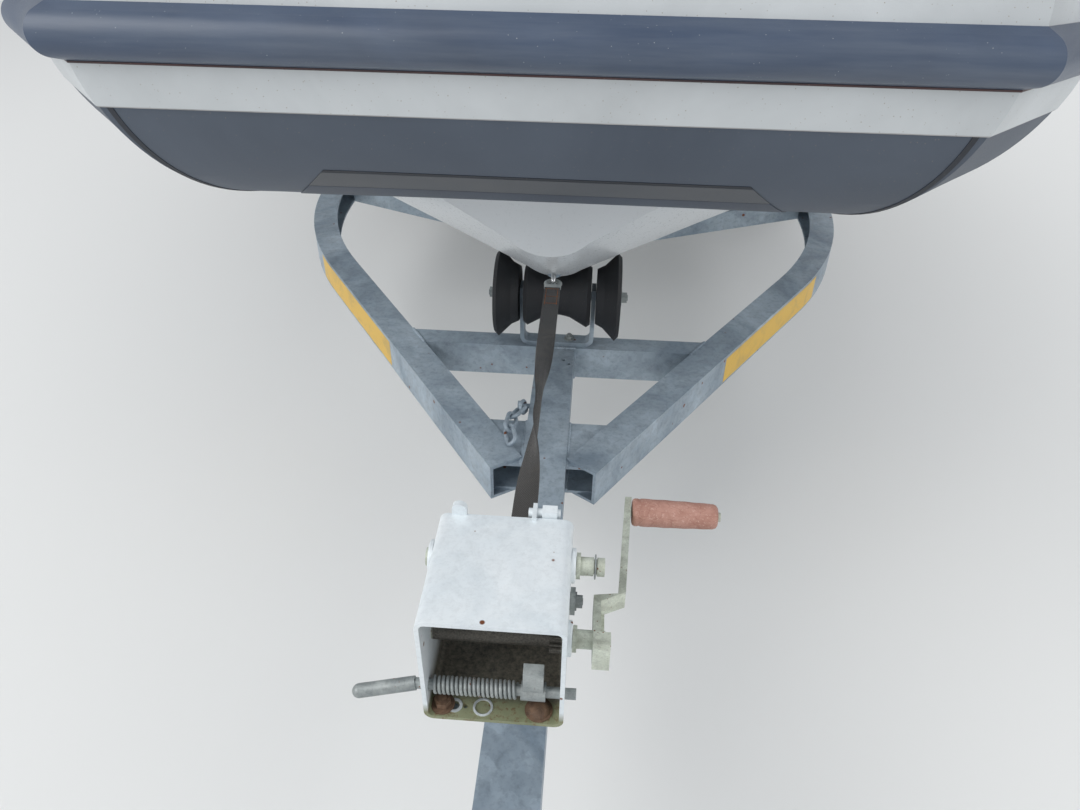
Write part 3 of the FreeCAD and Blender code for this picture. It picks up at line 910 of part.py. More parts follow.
swivel = swivel.fuse(slab([(-30, tiltY, tiltZ - 20), (-30, tiltY, tiltZ + 12), (-30, tiltY + 24, swivelHigh), (-30, steerY, swivelHigh), (-30, steerY, swivelLow + 30), (-30, steerY - 20, swivelLow + 30)], (60, 0, 0)))
swivel = swivel.cut(bar(k.tiltPin + k.runFit, V(-300, tiltY, tiltZ), V(300, tiltY, tiltZ))).cut(bar(k.swivelPin + k.runFit, V(0, steerY, 0), V(0, steerY, 2000)))
shaped("swivel_bracket", swivel)
plateZ = k.keelUp - k.plateDrop
propZ = plateZ - k.propDrop + 28
legY = steerY + 78


def wing(z, front, back, wide):
    # a pointed oval section of the leg in plan
    mid = front + (back - front) * 0.38
    return Part.Wire([Part.Arc(V(0, front, z), V(wide / 2 * 0.8, front + (mid - front) * 0.4, z), V(wide / 2, mid, z)).toShape(), Part.makeLine(V(wide / 2, mid, z), V(3, back, z)),
                      Part.makeLine(V(3, back, z), V(-3, back, z)), Part.makeLine(V(-3, back, z), V(-wide / 2, mid, z)),
                      Part.Arc(V(-wide / 2, mid, z), V(-wide / 2 * 0.8, front + (mid - front) * 0.4, z), V(0, front, z)).toShape()])


yokeTop = swivelHigh + 14
leg = Part.makeLoft([wing(propZ, legY - 80, legY + 90, 44), wing(plateZ, legY - 78, legY + 110, 62), wing(transomTop - 330, legY - 34, legY + 150, 96), wing(yokeTop + 26, legY - 30, legY + 190, 130)], True, True)
leg = leg.fuse(block(-k.plateWide / 2, k.plateWide / 2, legY - 90, legY - 90 + k.plateLong, plateZ, plateZ + 8))
leg = leg.fuse(bar(k.swivelPin, V(0, steerY, swivelLow - 24), V(0, steerY, yokeTop + 10)))
for z0, z1 in ((swivelLow - 30, swivelLow - k.seat), (swivelHigh + k.seat, yokeTop + 14)):
    leg = leg.fuse(block(-34, 34, steerY - 26, legY + 20, z0, z1))
torpedo = bar(k.torpedoRadius, V(0, legY - 70, propZ), V(0, legY - 70 + 170, propZ)).fuse(Part.makeCone(10, k.torpedoRadius, 90, V(0, legY - 160, propZ), V(0, 1, 0)))
leg = leg.fuse(torpedo)
leg = leg.fuse(slab([(-4, legY - 60, propZ), (-4, legY + 90, propZ), (-4, legY + 70, propZ - k.skegDrop), (-4, legY + 10, propZ - k.skegDrop)], (8, 0, 0)))
propY = legY + 100 + k.seat
leg = leg.fuse(bar(8, V(0, legY + 90, propZ), V(0, propY + k.propLong + 8, propZ)))
shaped("motor_leg", leg)
cowlZ = yokeTop + 26


def cowlWire(z, front, back, wide, r=70):
    w = wide / 2
    points = [(-w, front + r), (-w + r, front), (w - r, front), (w, front + r), (w, back - r), (w - r, back), (-w + r, back), (-w, back - r)]
    c = r * (1 - math.sqrt(0.5))
    mids = [(-w + c, front + c), (w - c, front + c), (w - c, back - c), (-w + c, back - c)]
    edges = []
    for i in range(4):
        a, b, nxt = points[2 * i], points[2 * i + 1], points[(2 * i + 2) % 8]
        edges += [Part.Arc(V(*a, z), V(*mids[i], z), V(*b, z)).toShape(), Part.makeLine(V(*b, z), V(*nxt, z))]
    return Part.Wire(edges)


cowlFront = steerY - 96
cowl = Part.makeLoft([cowlWire(cowlZ + k.seat, cowlFront + 40, cowlFront + k.cowlLong - 120, k.cowlWide - 150, 50), cowlWire(cowlZ + 90, cowlFront + 6, cowlFront + k.cowlLong - 24, k.cowlWide - 20),
                      cowlWire(cowlZ + 300, cowlFront, cowlFront + k.cowlLong, k.cowlWide), cowlWire(cowlZ + k.cowlHigh - 50, cowlFront + 40, cowlFront + k.cowlLong - 50, k.cowlWide - 60),
                      cowlWire(cowlZ + k.cowlHigh, cowlFront + 95, cowlFront + k.cowlLong - 130, k.cowlWide - 170, 60)], True, True)
shaped("motor_cowl", cowl)
prop = bar(k.propHub, V(0, propY, propZ), V(0, propY + k.propLong, propZ))
blades = []
for i in range(3):
    blade = slab([(0, propY + 6, propZ + k.propHub - 6), (0, propY + 78, propZ + k.propHub - 6), (0, propY + 88, propZ + k.propHub + 40), (0, propY + 60, propZ + k.propRadius - 8),
                  (0, propY + 36, propZ + k.propRadius), (0, propY + 6, propZ + k.propRadius - 20), (0, propY - 2 + 6, propZ + k.propHub + 30)], (5, 0, 0))
    blade.rotate(V(0, propY + 44, propZ), V(0, 0, 1), k.bladePitch)
    blade = blade.common(block(-300, 300, propY + 1, propY + k.propLong - 1, propZ - 300, propZ + 300))
    blade.rotate(V(0, 0, propZ), V(0, 1, 0), 120 * i)
    blades.append(blade)
prop = prop.multiFuse(blades).cut(bar(8 + k.runFit, V(0, propY - 50, propZ), V(0, propY + 400, propZ)))
shaped("propeller", prop)

# Lighting board across the stern end of the frame
node("light_board", fuse("lightBoard", box("boardPlank", "2 * boardHalf", "boardThick", "boardHigh", "-boardHalf", "ballY + frameEndBack", "frameTop - boardHigh - boardDrop"),
    box("numberPlate", "plateLength", 3, "boardHigh - 9", "-plateLength / 2", "ballY + frameEndBack + boardThick", "frameTop - boardHigh - boardDrop + 4")))
lamps = doc.addObject("Part::Compound", "lampPair")
lamps.Links = [box("lampRight", "lampWide", "lampDeep", "boardHigh - 10", "boardHalf - lampWide - 5", "ballY + frameEndBack + boardThick", "frameTop - boardHigh - boardDrop + 5"),
               box("lampLeft", "lampWide", "lampDeep", "boardHigh - 10", "-boardHalf + 5", "ballY + frameEndBack + boardThick", "frameTop - boardHigh - boardDrop + 5")]
node("rear_lamps", lamps)

doc.recompute()
for obj in doc.Objects:
    if "Invalid" in obj.State or "Error" in obj.State:
        raise RuntimeError(f"{obj.Name} failed: {obj.State}")
faulty = [obj.Label for obj in nodes if obj.Shape.isNull() or not obj.Shape.isValid()]
if faulty:
    raise RuntimeError(f"no valid shape: {faulty}")
low, high = V(1e9, 1e9, 1e9), V(-1e9, -1e9, -1e9)
for obj in nodes:
    obj.Shape.exportStep(f"parts/{obj.Label}.step")
    b = obj.Shape.BoundBox
    low = V(min(low.x, b.XMin), min(low.y, b.YMin), min(low.z, b.ZMin))
    high = V(max(high.x, b.XMax), max(high.y, b.YMax), max(high.z, b.ZMax))
    print(f"{obj.Label}: {len(obj.Shape.Solids)} solids, {obj.Shape.Volume / 1e3:.1f} cm3")
print(f"{len(nodes)} nodes, from {low} to {high}")
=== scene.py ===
import math

import bmesh
import bpy
from mathutils import Matrix, Vector
from mathutils.bvhtree import BVHTree


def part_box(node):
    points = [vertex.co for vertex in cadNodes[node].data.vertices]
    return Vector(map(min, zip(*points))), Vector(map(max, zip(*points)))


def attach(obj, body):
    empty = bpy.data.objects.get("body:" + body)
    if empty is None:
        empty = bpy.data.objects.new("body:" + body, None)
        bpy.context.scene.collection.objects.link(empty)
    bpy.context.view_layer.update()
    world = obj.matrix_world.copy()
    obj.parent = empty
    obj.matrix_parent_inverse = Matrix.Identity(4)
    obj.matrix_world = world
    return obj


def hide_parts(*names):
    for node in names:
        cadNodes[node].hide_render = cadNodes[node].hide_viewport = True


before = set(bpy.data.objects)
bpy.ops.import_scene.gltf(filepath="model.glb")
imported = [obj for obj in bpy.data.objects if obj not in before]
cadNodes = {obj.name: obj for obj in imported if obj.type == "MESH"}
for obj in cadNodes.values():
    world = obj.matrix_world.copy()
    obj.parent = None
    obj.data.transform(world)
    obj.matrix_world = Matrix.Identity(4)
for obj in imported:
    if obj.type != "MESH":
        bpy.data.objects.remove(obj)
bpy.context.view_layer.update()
trailer = "trailer_and_boat"
sides = (1, -1)
named = ((1, "Right"), (-1, "Left"))
wayX, wayY, wayZ = Vector((1, 0, 0)), Vector((0, 1, 0)), Vector((0, 0, 1))


def tone(*levels):
    # a colour as it looks on a screen, 0 to 255, turned into the shader's linear values
    shares = [level / 255 for level in levels]
    return (*(share / 12.92 if share <= 0.04045 else ((share + 0.055) / 1.055) ** 2.4 for share in shares), 1.0)


def low(name):
    return Vector(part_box(name)[0])


def high(name):
    return Vector(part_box(name)[1])


def middle(name):
    return (low(name) + high(name)) / 2


# Shader helpers: one call places a node, sets its values and joins its inputs
def put(tree, kind, inputs=None, **settings):
    made = tree.nodes.new(kind)
    for name, value in settings.items():
        setattr(made, name, value)
    for name, value in (inputs or {}).items():
        if isinstance(value, bpy.types.NodeSocket):
            tree.links.new(value, made.inputs[name])
        else:
            made.inputs[name].default_value = value
    return made


def maths(tree, operation, *values):
    return put(tree, "ShaderNodeMath", dict(enumerate(values)), operation=operation).outputs[0]


def mixColour(tree, factor, first, second, blend="MIX"):
    return put(tree, "ShaderNodeMix", {0: factor, 6: first, 7: second}, data_type="RGBA", blend_type=blend).outputs[2]


def ramp(tree, value, stops):
    made = put(tree, "ShaderNodeValToRGB", {"Fac": value})
    while len(made.color_ramp.elements) < len(stops):
        made.color_ramp.elements.new(0.5)
    for element, (place, level) in zip(made.color_ramp.elements, stops):
        element.position, element.color = place, (level, level, level, 1)
    return made.outputs["Color"]


def shaded(tree, base, value, *stops):
    # darkens a colour where the ramp is below one
    return mixColour(tree, 1.0, base, ramp(tree, value, stops), "MULTIPLY")


def veiled(tree, base, value, colour, *stops):
    # lays a colour over another one as far as the ramp says
    return mixColour(tree, ramp(tree, value, stops), base, colour)


def mapRange(tree, value, fromLow, fromHigh, toLow=0, toHigh=1):
    limits = {"From Min": fromLow, "From Max": fromHigh, "To Min": toLow, "To Max": toHigh}
    return put(tree, "ShaderNodeMapRange", {"Value": value, **limits}).outputs["Result"]


def spotOf(tree, kind="Object", scale=None):
    spot = put(tree, "ShaderNodeTexCoord").outputs[kind]
    return put(tree, "ShaderNodeMapping", {"Vector": spot, "Scale": scale}).outputs[0] if scale else spot


def axisOf(tree, axis, kind="Object"):
    return put(tree, "ShaderNodeSeparateXYZ", {"Vector": spotOf(tree, kind)}).outputs[axis]


def noise(tree, place, scale, detail, roughness=0.5, warp=0.0, output="Fac"):
    inputs = {"Vector": place, "Scale": scale, "Detail": detail, "Roughness": roughness, "Distortion": warp}
    return put(tree, "ShaderNodeTexNoise", inputs).outputs[output]


def cells(tree, place, scale, feature="F1"):
    return put(tree, "ShaderNodeTexVoronoi", {"Vector": place, "Scale": scale}, feature=feature).outputs


def newGroup(name, inputs, outputs):
    tree = bpy.data.node_groups.new(name, "ShaderNodeTree")
    for label, value in inputs.items():
        tree.interface.new_socket(label, in_out="INPUT", socket_type="NodeSocketFloat").default_value = value
    for label in outputs:
        tree.interface.new_socket(label, in_out="OUTPUT", socket_type="NodeSocketFloat")
    return tree, tree.nodes.new("NodeGroupInput").outputs, tree.nodes.new("NodeGroupOutput").inputs


def speckleGroup():
    # scattered spots with soft rims, such as rust blooms, grit or splashes
    tree, given, result = newGroup("speckle", {"Scale": 60, "Cover": 0.1, "Spread": 6}, ["Mask"])
    place = spotOf(tree)
    spots = cells(tree, place, given["Scale"])
    chance = put(tree, "ShaderNodeSeparateColor", {"Color": spots["Color"]}).outputs
    limit = maths(tree, "MULTIPLY", given["Cover"], noise(tree, place, given["Spread"], 3.0))
    chosen = maths(tree, "LESS_THAN", chance["Red"], limit)
    size = mapRange(tree, chance["Green"], 0, 1, 0.12, 0.42)
    soft = mapRange(tree, maths(tree, "SUBTRACT", size, spots["Distance"]), 0.0, 0.14)
    tree.links.new(maths(tree, "MULTIPLY", soft, chosen), result["Mask"])
    return tree


def mottleGroup():
    # cloudy change of tone at two scales, as on weathered metal, coated cloth or old gelcoat
    tree, given, result = newGroup("mottle", {"Scale": 8, "Fine": 90, "Warp": 0.4}, ["Cloud", "Grain"])
    place = spotOf(tree)
    tree.links.new(mapRange(tree, noise(tree, place, given["Scale"], 5.0, 0.6, given["Warp"]), 0.3, 0.7), result["Cloud"])
    tree.links.new(mapRange(tree, noise(tree, place, given["Fine"], 4.0, 0.7), 0.3, 0.7), result["Grain"])
    return tree


def spangleGroup():
    # crystal facets of hot dipped zinc, with a fine sandy grain
    tree, given, result = newGroup("spangle", {"Scale": 55, "Fine": 700}, ["Facet", "Height"])
    place = spotOf(tree)
    warp = noise(tree, place, given["Scale"], 2.0, output="Color")
    shift = put(tree, "ShaderNodeVectorMath", {0: warp, "Scale": 0.012}, operation="SCALE").outputs[0]
    moved = put(tree, "ShaderNodeVectorMath", {0: place, 1: shift}, operation="ADD").outputs[0]
    shade = put(tree, "ShaderNodeSeparateColor", {"Color": cells(tree, moved, given["Scale"])["Color"]}).outputs
    sand = noise(tree, place, given["Fine"], 3.0)
    tree.links.new(shade["Red"], result["Facet"])
    tree.links.new(maths(tree, "ADD", maths(tree, "MULTIPLY", shade["Green"], 0.35), sand), result["Height"])
    return tree


def weaveGroup():
    # over and under threads along the two directions of a UV map
    tree, given, result = newGroup("weave", {"Across": 900, "Along": 900}, ["Height"])
    waves = [maths(tree, "SINE", maths(tree, "MULTIPLY", axisOf(tree, axis, "UV"), given[label]))
             for axis, label in (("X", "Across"), ("Y", "Along"))]
    tree.links.new(mapRange(tree, maths(tree, "MULTIPLY", *waves), -1, 1), result["Height"])
    return tree


groups = {"speckle": speckleGroup(), "mottle": mottleGroup(), "spangle": spangleGroup(), "weave": weaveGroup()}
materials = {}


def effect(tree, name, **inputs):
    made = put(tree, "ShaderNodeGroup", node_tree=groups[name])
    for label, value in inputs.items():
        made.inputs[label].default_value = value
    return made.outputs


def newMaterial(name, **shaderValues):
    material = materials[name] = bpy.data.materials.new(name)
    material.use_nodes = True
    shader = material.node_tree.nodes["Principled BSDF"]
    for label, value in shaderValues.items():
        shader.inputs[label.replace("_", " ")].default_value = value
    return material.node_tree, shader.inputs


def finished(tree, shader, base, wear, rough, height=None, strength=0.5, distance=0.0004):
    # joins a material's colour, its roughness between two values and its bump to the shader
    tree.links.new(base, shader["Base Color"])
    tree.links.new(mapRange(tree, wear, 0, 1, *rough), shader["Roughness"])
    if height:
        made = put(tree, "ShaderNodeBump", {"Height": height, "Strength": strength, "Distance": distance})
        tree.links.new(made.outputs["Normal"], shader["Normal"])


print("shader groups ready")

# Weathered metals: dark and light tone, size of facets and of clouds, rust, roughness, metallic share
metals = {
    "galvanised": ((130, 145, 158), (180, 193, 203), 60, 7, 0.05, (0.4, 0.6), 0.3),
    "brightZinc": ((192, 201, 204), (226, 232, 234), 120, 13, 0.04, (0.34, 0.52), 0.35),
    "dullZinc": ((134, 141, 142), (186, 191, 189), 130, 30, 0.16, (0.38, 0.6), 0.4),
    "yellowZinc": ((182, 186, 170), (228, 234, 220), 150, 40, 0.14, (0.4, 0.6), 0.3),
    "rustyBolt": ((84, 66, 54), (136, 108, 86), 220, 90, 0.3, (0.7, 0.9), 0.15),
}
rustTone = tone(116, 66, 38)
# painted shade: the zinc turns dark between the winch's sides
shadeInsideBox = {"finish": "yellowZinc", "from": 0.057, "to": 0.061, "tones": (tone(50, 48, 45), tone(96, 92, 84))}
for name, (dark, light, facet, cloudy, rusty, rough, metal) in metals.items():
    tree, shader = newMaterial(name, Metallic=metal)
    cloud = effect(tree, "mottle", Scale=cloudy, Fine=cloudy * 14, Warp=0.8)
    zinc = effect(tree, "spangle", Scale=facet, Fine=facet * 14)
    rust = effect(tree, "speckle", Scale=cloudy * 11, Cover=rusty, Spread=cloudy)
    base = mixColour(tree, cloud["Cloud"], tone(*dark), tone(*light))
    base = shaded(tree, base, zinc["Facet"], (0, 0.84), (1, 1.0))
    base = shaded(tree, base, cloud["Grain"], (0.1, 0.82), (0.55, 1.0))
    base = mixColour(tree, rust["Mask"], base, rustTone)
    if name == shadeInsideBox["finish"]:
        # painted shade on the shaft between the winch's sides, where the box shades it
        inside = mapRange(tree, maths(tree, "ABSOLUTE", axisOf(tree, "X")), shadeInsideBox["from"], shadeInsideBox["to"], 1, 0)
        base = mixColour(tree, inside, base, mixColour(tree, cloud["Grain"], *shadeInsideBox["tones"]))
    finished(tree, shader, base, zinc["Facet"], rough, zinc["Height"], 0.25)

# Winch sheet: nearly white zinc above, greenish yellow passivation and rusty corners on the floor of the box, and grime
# with painted shade inside the box
winchSheet = {"floorLevel": 0.765, "fadeTo": 0.778, "shadeGrimeTop": 0.800, "shadeGrimeFull": 0.770, "shadeGrimeFrom": -2.154, "shadeGrimeTo": -2.146,
              "upper": (tone(222, 230, 234), tone(238, 243, 245)), "floor": (tone(110, 116, 86), tone(166, 170, 138)),
              "dirt": (tone(84, 82, 76), tone(142, 136, 122)), "rusty": tone(112, 72, 44)}
tree, shader = newMaterial("winchSheet", Metallic=0.2)
cloud = effect(tree, "mottle", Scale=14, Fine=240, Warp=0.8)
zinc = effect(tree, "spangle", Scale=120, Fine=1500)
rust = effect(tree, "speckle", Scale=150, Cover=0.05, Spread=14)
height, depth = axisOf(tree, "Z"), axisOf(tree, "Y")
upper = mixColour(tree, cloud["Cloud"], *winchSheet["upper"])
lower = mixColour(tree, cloud["Cloud"], *winchSheet["floor"])
lower = veiled(tree, lower, cloud["Grain"], winchSheet["rusty"], (0.55, 0.0), (1.0, 0.8))
base = mixColour(tree, mapRange(tree, height, winchSheet["floorLevel"], winchSheet["fadeTo"]), lower, upper)
# grime and painted shade inside the box, darker lower down and deeper in, in the dirt tones
inside = maths(tree, "MULTIPLY", mapRange(tree, depth, winchSheet["shadeGrimeFrom"], winchSheet["shadeGrimeTo"]),
               mapRange(tree, height, winchSheet["shadeGrimeTop"], winchSheet["shadeGrimeFull"]))
base = mixColour(tree, inside, base, mixColour(tree, cloud["Grain"], *winchSheet["dirt"]))
base = shaded(tree, base, zinc["Facet"], (0, 0.965), (1, 1.0))
base = shaded(tree, base, cloud["Grain"], (0.1, 0.93), (0.6, 1.0))
base = mixColour(tree, rust["Mask"], base, rustTone)
finished(tree, shader, base, zinc["Facet"], (0.36, 0.54), zinc["Height"], 0.22)

# Cloth and rubber: dark and light tone, size of clouds, dirt and its tone (on the fender also the tone of its painted
# sheen), roughness, grain and its height
tape = (1500, 0.00012)
cloths = {
    "greyFabric": ((66, 75, 88), (84, 93, 106), 3.2, 0.10, (120, 116, 108), (0.5, 0.64), *tape),
    "whiteFabric": ((184, 188, 190), (206, 210, 212), 4.0, 0.16, (150, 142, 130), (0.46, 0.6), *tape),
    # darker than the tube's fabric: painted shade on the lowest band under the bow; plain dark tape on the seat's
    # piping and stitches
    "seamTapeAndShade": ((58, 66, 79), (74, 83, 96), 6.0, 0.10, (110, 106, 98), (0.5, 0.66), *tape),
    "darkSeam": ((32, 36, 44), (46, 50, 58), 12.0, 0.10, (90, 88, 84), (0.5, 0.66), *tape),
    "bondingTape": ((76, 80, 86), (93, 95, 98), 9.0, 0.10, (120, 112, 100), (0.5, 0.66), *tape),
    "fenderLine": ((62, 48, 52), (88, 64, 64), 9.0, 0.20, (120, 100, 90), (0.5, 0.66), *tape),
    "bandLine": ((150, 150, 150), (184, 184, 184), 9.0, 0.20, (120, 110, 100), (0.5, 0.66), *tape),
    "orangeThread": ((132, 74, 38), (170, 104, 58), 60.0, 0.2, (90, 60, 40), (0.8, 0.95), 2500, 0.0001),
    "fenderRubber": ((54, 67, 88), (72, 87, 110), 2.4, 0.05, (150, 156, 160), (0.34, 0.48), 700, 0.00008),
    "blackRubber": ((18, 20, 24), (34, 36, 40), 20, 0.12, (92, 88, 80), (0.55, 0.75), 900, 0.0002),
    "tyreRubber": ((28, 28, 29), (44, 44, 44), 9, 0.18, (96, 90, 80), (0.62, 0.82), 1100, 0.0003),
    "guardPlastic": ((34, 35, 37), (48, 49, 51), 9, 0.16, (100, 96, 88), (0.45, 0.62), 1600, 0.00025),
    "bunkCarpet": ((38, 39, 42), (60, 61, 64), 22, 0.2, (98, 92, 82), (0.9, 1.0), 900, 0.002),
}
# pale streaks on the fender: weathering and painted sheen
weatherSheenStreak = {"finish": "fenderRubber", "share": 0.24, "stretch": (0.6, 0.5, 9.0)}
for name, (dark, light, cloudy, dirty, dirtAndSheenTone, rough, grain, lift) in cloths.items():
    tree, shader = newMaterial(name)
    cloud = effect(tree, "mottle", Scale=cloudy, Fine=grain, Warp=0.5)
    dirt = effect(tree, "speckle", Scale=650, Cover=dirty * 0.5, Spread=5)
    base = mixColour(tree, cloud["Cloud"], tone(*dark), tone(*light))
    if name == weatherSheenStreak["finish"]:
        # pale weathering and painted sheen streaked along the boat's sides and bow
        weatherSheenMask = noise(tree, spotOf(tree, scale=weatherSheenStreak["stretch"]), 4.0, 5.0, 0.65)
        base = veiled(tree, base, weatherSheenMask, tone(*dirtAndSheenTone), (0.42, 0.0), (0.78, weatherSheenStreak["share"]))
    base = mixColour(tree, dirt["Mask"], base, tone(*dirtAndSheenTone))
    finished(tree, shader, base, cloud["Cloud"], rough, cloud["Grain"], 0.5, lift)

# Gelcoat, paint, plastics and plain metals: clean and worn tone, size of clouds, roughness, coat, metallic share
solids = {
    "gelcoat": ((210, 214, 217), (203, 206, 208), 3.0, (0.27, 0.29), 0.35, 0.0),
    "stainless": ((196, 198, 200), (172, 174, 176), 12, (0.14, 0.24), 0.0, 1.0),
    "motorPaint": ((30, 32, 36), (38, 40, 44), 4.0, (0.24, 0.27), 0.5, 0.0),
    "motorMetal": ((54, 57, 62), (74, 77, 82), 10, (0.36, 0.5), 0.1, 0.35),
    "lampRed": ((150, 16, 18), (126, 12, 14), 10, (0.16, 0.24), 0.6, 0.0),
    "lampAmber": ((222, 120, 20), (200, 100, 16), 10, (0.16, 0.24), 0.6, 0.0),
    "boardPaint": ((52, 54, 57), (72, 74, 76), 9, (0.42, 0.56), 0.0, 0.0),
    "plateWhite": ((224, 224, 220), (206, 205, 198), 8, (0.3, 0.42), 0.1, 0.0),
    "stickerYellow": ((216, 172, 44), (186, 152, 62), 16, (0.34, 0.5), 0.2, 0.0),
    "vinyl": ((186, 186, 182), (160, 159, 152), 7, (0.38, 0.5), 0.1, 0.0),
    "darkVoid": ((20, 21, 22), (30, 31, 32), 20, (0.6, 0.8), 0.0, 0.0),
    "bladeMetal": ((60, 63, 68), (96, 99, 102), 20, (0.3, 0.45), 0.2, 0.5),
}
for name, (clean, worn, cloudy, rough, coat, metal) in solids.items():
    tree, shader = newMaterial(name, Metallic=metal, Coat_Weight=coat, Coat_Roughness=0.12)
    cloud = effect(tree, "mottle", Scale=cloudy, Fine=cloudy * 60, Warp=0.6)
    dust = effect(tree, "speckle", Scale=260, Cover=0.1, Spread=9)
    base = mixColour(tree, ramp(tree, cloud["Cloud"], [(0.45, 0.0), (1.0, 1.0)]), tone(*clean), tone(*worn))
    base = mixColour(tree, dust["Mask"], base, tone(*worn))
    finished(tree, shader, base, cloud["Grain"], rough)

# Tinted acrylic of the windscreen
tree, shader = newMaterial("acrylic", Transmission_Weight=0.9, IOR=1.49, Roughness=0.08)
smoke = effect(tree, "mottle", Scale=5, Fine=60, Warp=0.3)
tree.links.new(mixColour(tree, smoke["Cloud"], tone(120, 128, 132), tone(134, 141, 145)), shader["Base Color"])

# Faded, cracked plastic of the crank grip
tree, shader = newMaterial("fadedGrip", Specular_IOR_Level=0.35)
cloud = effect(tree, "mottle", Scale=34, Fine=420, Warp=1.2)
cracks = cells(tree, spotOf(tree, scale=(1.0, 3.0, 3.0)), 70.0, "DISTANCE_TO_EDGE")["Distance"]
crackMask = ramp(tree, cracks, [(0.0, 1.0), (0.035, 0.0)])
base = mixColour(tree, cloud["Cloud"], tone(160, 116, 102), tone(186, 144, 130))
base = veiled(tree, base, cloud["Grain"], tone(206, 176, 164), (0.62, 0.0), (0.9, 0.6))
base = veiled(tree, base, crackMask, tone(132, 80, 66), (0.0, 0.0), (1.0, 0.45))
finished(tree, shader, base, cloud["Grain"], (0.62, 0.85), cracks, 0.2, 0.0003)

# Woven webbing: black near the hook, lighter towards the drum as painted sunlight, with muddy stains
tree, shader = newMaterial("webbing", Sheen_Weight=0.25)
weave = effect(tree, "weave", Across=2 * math.pi * 14, Along=2 * math.pi * 260)
stain = effect(tree, "mottle", Scale=18, Fine=300, Warp=0.8)
# painted sunlight on the drum end of the strap; the hook end keeps the webbing's own black
paintedSunlight = ramp(tree, axisOf(tree, "Y", "UV"), [(0.0, 1.0), (0.42, 0.7), (0.6, 0.0)])
base = mixColour(tree, paintedSunlight, tone(24, 24, 26), tone(58, 55, 52))
base = veiled(tree, base, stain["Cloud"], tone(76, 70, 62), (0.4, 0.0), (1.0, 0.55))
base = shaded(tree, base, weave["Height"], (0.0, 0.7), (0.6, 1.0))
finished(tree, shader, base, stain["Grain"], (0.75, 0.95), weave["Height"], 0.6, 0.0008)

# The same webbing on the drum, where its threads follow the shaft
tree, shader = newMaterial("rolledWebbing", Sheen_Weight=0.25)
threads = put(tree, "ShaderNodeTexWave", {"Vector": spotOf(tree), "Scale": 160.0, "Distortion": 1.5, "Detail": 2.0},
              wave_type="BANDS", bands_direction="X").outputs["Fac"]
stain = effect(tree, "mottle", Scale=30, Fine=500, Warp=0.8)
base = mixColour(tree, stain["Cloud"], tone(40, 38, 37), tone(72, 68, 63))
base = shaded(tree, base, threads, (0.0, 0.72), (0.6, 1.0))
finished(tree, shader, base, stain["Grain"], (0.75, 0.95), threads, 0.5, 0.0006)
print("materials ready", len(materials))

nodeFinish = {
    "galvanised": "side_member_right side_member_left drawbar gusset_plates front_crossmember vee_crossmembers axle_beam "
                  "coupling_head jockey_clamp winch_post bow_roller_bracket safety_chain bunk_posts wheel_right wheel_left "
                  "jockey_fork coupling_handle",
    "winchSheet": "winch_housing", "brightZinc": "jockey_inner_tube jockey_crank",
    "dullZinc": "winch_drum winch_pawl winch_spring strap_hook", "yellowZinc": "winch_stub_shaft winch_crank",
    "tyreRubber": "tyre_right tyre_left", "guardPlastic": "mudguards", "bunkCarpet": "bunks",
    "blackRubber": "jockey_wheel bow_roller_middle bow_roller_right bow_roller_left keel_roller_front keel_roller_rear "
                   "helm_wheel",
    "greyFabric": "inflatable_tube", "whiteFabric": "tube_band", "fenderRubber": "rubbing_fender",
    "gelcoat": "hull transom console seat_pod bow_locker locker_lid", "stainless": "console_rail bow_eye",
    "acrylic": "windscreen", "vinyl": "seat_cushion", "webbing": "bow_strap winch_strap_roll", "motorPaint": "motor_cowl",
    "motorMetal": "motor_leg swivel_bracket motor_clamp", "bladeMetal": "propeller", "fadedGrip": "winch_grip",
    "lampRed": "rear_lamps", "boardPaint": "light_board",
}
for finish, names in nodeFinish.items():
    for name in names.split():
        mesh = cadNodes[name].data
        mesh.materials.clear()
        mesh.materials.append(materials[finish])
print("frame pieces finished")


# Mesh helpers: pieces are built in world metres and ride on a body of the frame
def newPiece(name, source, finish, body=trailer, stands=(), sharp=38):
    mesh = source
    if isinstance(source, bmesh.types.BMesh):
        mesh = bpy.data.meshes.new(name)
        bmesh.ops.remove_doubles(source, verts=source.verts, dist=1e-6)
        bmesh.ops.recalc_face_normals(source, faces=source.faces)
        source.to_mesh(mesh)
        source.free()
    mesh.name = name
    mesh.materials.clear()
    mesh.materials.append(materials[finish])
    mesh.shade_smooth()
    mesh.set_sharp_from_angle(angle=math.radians(sharp))
    piece = bpy.data.objects.new(name, mesh)
    bpy.context.collection.objects.link(piece)
    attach(piece, body)
    for node in stands:
        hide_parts(node)
    return piece


def lathe(bm, centre, axis, profile, steps):
    # turns (along, radius) pairs about an axis; a radius of zero closes an end
    axis = Vector(axis).normalized()
    side = axis.orthogonal().normalized()
    other = axis.cross(side)
    angles = [2 * math.pi * i / steps for i in range(steps)]
    rings = []
    for along, radius in profile:
        spot = Vector(centre) + axis * along
        arms = [(side * math.cos(a) + other * math.sin(a)) * radius for a in angles] if radius else [Vector()]
        rings.append([bm.verts.new(spot + arm) for arm in arms])
    for first, second in zip(rings, rings[1:]):
        for i in range(steps):
            j = (i + 1) % steps
            corners = [first[i % len(first)], first[j % len(first)], second[j % len(second)], second[i % len(second)]]
            bm.faces.new(list(dict.fromkeys(corners)))
    return bm


def turned(name, centre, axis, profile, steps, finish, body=trailer, stands=(), sharp=38):
    return newPiece(name, lathe(bmesh.new(), centre, axis, profile, steps), finish, body, stands, sharp)


def mirrored(half):
    # a closed profile from its half on one side of the middle
    return half + [(-along, radius) for along, radius in reversed(half)] + half[:1]


